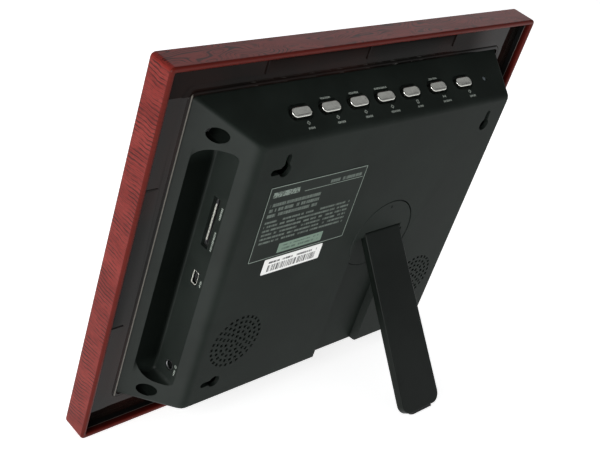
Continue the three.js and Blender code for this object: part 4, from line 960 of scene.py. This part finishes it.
class PF_OT_ports(FrameOperator, bpy.types.Operator):
    """Bright contacts and rims of the card slot, the small socket and the power inlet"""

    bl_idname = "photo_frame.ports"
    bl_label = "Port metal"

    def execute(self, context):
        work = bmesh.new()
        for i in range(TOOTH_COUNT):
            z = CARD_MIDDLE + (i - (TOOTH_COUNT - 1) / 2) * TOOTH_PITCH
            corners = [(-0.35, -0.8), (0.35, -0.8), (0.35, 0.8), (-0.35, 0.8)]
            slab_shape(work, corners, at(WALL_X - 0.6, PORT_DEPTH + 0.3, z), BACK, UP, ACROSS, 0.0, 0.0005)
        metal_piece(work, "card_contacts", "contact_metal")
        work = bmesh.new()
        socket = [(sx * 3.8 + dx, sz * 1.9 + dz) for sx, sz, dx, dz in
                  ((1, 1, 0, -0.4), (1, 1, -0.4, 0), (-1, 1, 0.4, 0), (-1, 1, 0, -0.4),
                   (-1, -1, 0, 0.9), (-1, -1, 0.9, 0), (1, -1, -0.9, 0), (1, -1, 0, 0.9))]
        hoop(work, [at(WALL_X - 0.6, PORT_DEPTH - b, USB_MIDDLE + a) for a, b in socket], 0.00028)
        metal_piece(work, "socket_rim", "contact_metal")
        work = bmesh.new()
        turns = [math.tau * i / 28 for i in range(28)]
        hoop(work, [at(WALL_X - 0.5, PORT_DEPTH + INLET_R * math.cos(t), POWER_MIDDLE + INLET_R * math.sin(t))
                    for t in turns], 0.00025)
        metal_piece(work, "inlet_rim")
        return {"FINISHED"}


class PF_OT_stand(FrameOperator, bpy.types.Operator):
    """Turning disc, stand leg and foot pad"""

    bl_idname = "photo_frame.stand"
    bl_label = "Stand"

    def execute(self, context):
        smooth_copy("turntable_disc", "turntable", 30)
        smooth_copy("stand_leg", "leg", 35)
        finish_nodes("leg_foot_pad")
        return {"FINISHED"}


class PF_OT_stage(FrameOperator, bpy.types.Operator):
    """Pale floor, soft lights and camera"""

    bl_idname = "photo_frame.stage"
    bl_label = "Stage"

    def execute(self, context):
        s = context.scene.photo_frame
        scene = context.scene
        half = s.floor_size / 2
        work = bmesh.new()
        bmesh.ops.create_grid(work, x_segments=8, y_segments=8, size=half)
        mesh = bpy.data.meshes.new("floor")
        work.to_mesh(mesh)
        work.free()
        floor = bpy.data.objects.new("floor", mesh)
        scene.collection.objects.link(floor)
        material, graph, shader, place = new_material("Pale floor", (0.80, 0.80, 0.80), 0.7)
        speck = graph.noise(place, 0.01, 2.0)
        tone = graph.mix(speck, (0.79, 0.79, 0.79, 1), (0.82, 0.82, 0.82, 1))
        graph.feed(shader.inputs["Base Color"], tone)
        shader.inputs["Emission Color"].default_value = (1, 1, 1, 1)
        shader.inputs["Emission Strength"].default_value = s.floor_glow
        mesh.materials.append(material)

        def area(name, where, target, size, power):
            light = bpy.data.lights.new(name, "AREA")
            light.shape = "RECTANGLE"
            light.size, light.size_y = size
            light.energy = power
            lamp = bpy.data.objects.new(name, light)
            scene.collection.objects.link(lamp)
            lamp.location = where
            lamp.rotation_mode = "QUATERNION"
            lamp.rotation_quaternion = (Vector(target) - Vector(where)).to_track_quat("-Z", "Y")

        area("key light", (1.42, 0.42, 0.42), (0, 0, 0.1), (1.2, 1.0), s.key_power)
        area("back fill", (0.1, 1.9, 0.9), (0, 0, 0.1), (1.6, 1.0), s.key_power * 0.08)
        area("front fill", (-0.4, -1.8, 1.1), (0, 0, 0.1), (1.6, 1.2), s.key_power * 0.31)
        area("floor light", (-0.2, 0.0, 2.6), (-0.2, 0, 0), (3.0, 3.0), s.key_power * 0.46)
        area("edge light", (-1.1, -0.64, 1.05), (0, 0, 0.1), (0.9, 0.9), s.key_power * 0.14)
        area("cap light", (-1.09, 0.61, 1.05), (0, 0, 0.15), (0.7, 0.7), s.key_power * 0.022)
        world = bpy.data.worlds.new("Studio")
        scene.world = world
        world.use_nodes = True
        background = world.node_tree.nodes["Background"]
        sky = Graph(world.node_tree)
        height = sky.split(sky.add("ShaderNodeTexCoord").outputs["Generated"])[2]
        ceiling = sky.ramp(height, 0.02, 0.45, 0.0, 1.0)
        tone = sky.mix(ceiling, (0.92, 0.94, 0.95, 1), (0.06, 0.065, 0.07, 1))
        sky.feed(background.inputs["Color"], tone)
        background.inputs["Strength"].default_value = s.room_light

        eye = Vector((0.42291, 0.38499, 0.31140))
        target = Vector((0.01173, -0.01009, 0.10299))
        data = bpy.data.cameras.new("camera")
        data.lens = s.lens
        data.sensor_width = 36
        camera = bpy.data.objects.new("camera", data)
        scene.collection.objects.link(camera)
        level = (target - eye).to_track_quat("-Z", "Y").to_matrix().to_4x4()
        turned = level @ Matrix.Rotation(s.roll, 4, "Z")
        camera.matrix_world = Matrix.Translation(eye) @ turned
        data.clip_start = 0.02
        data.clip_end = 50
        scene.camera = camera
        scene.view_settings.view_transform = "Standard"
        return {"FINISHED"}


class PF_PT_panel(bpy.types.Panel):
    """Steps that build the photo frame"""

    bl_label = "Photo frame"
    bl_idname = "PF_PT_panel"
    bl_space_type = "VIEW_3D"
    bl_region_type = "UI"
    bl_category = "Photo frame"

    def draw(self, context):
        for name in STEPS:
            self.layout.operator("photo_frame." + name)
        for name in PhotoFrameSettings.__annotations__:
            self.layout.prop(context.scene.photo_frame, name)


STEPS = ("wood_frame", "picture_side", "inner_works", "back_panel", "rear_housing", "labels", "buttons",
         "marks", "ports", "stand", "stage")
CLASSES = (PhotoFrameSettings, PF_OT_wood_frame, PF_OT_picture_side, PF_OT_inner_works, PF_OT_back_panel,
           PF_OT_rear_housing, PF_OT_labels, PF_OT_buttons, PF_OT_marks, PF_OT_ports, PF_OT_stand,
           PF_OT_stage, PF_PT_panel)


def register():
    for cls in CLASSES:
        bpy.utils.register_class(cls)
    bpy.types.Scene.photo_frame = PointerProperty(type=PhotoFrameSettings)


def unregister():
    del bpy.types.Scene.photo_frame
    for cls in reversed(CLASSES):
        bpy.utils.unregister_class(cls)


def main():
    register()
    for name in STEPS:
        getattr(bpy.ops.photo_frame, name)()


if __name__ == "__main__":
    main()
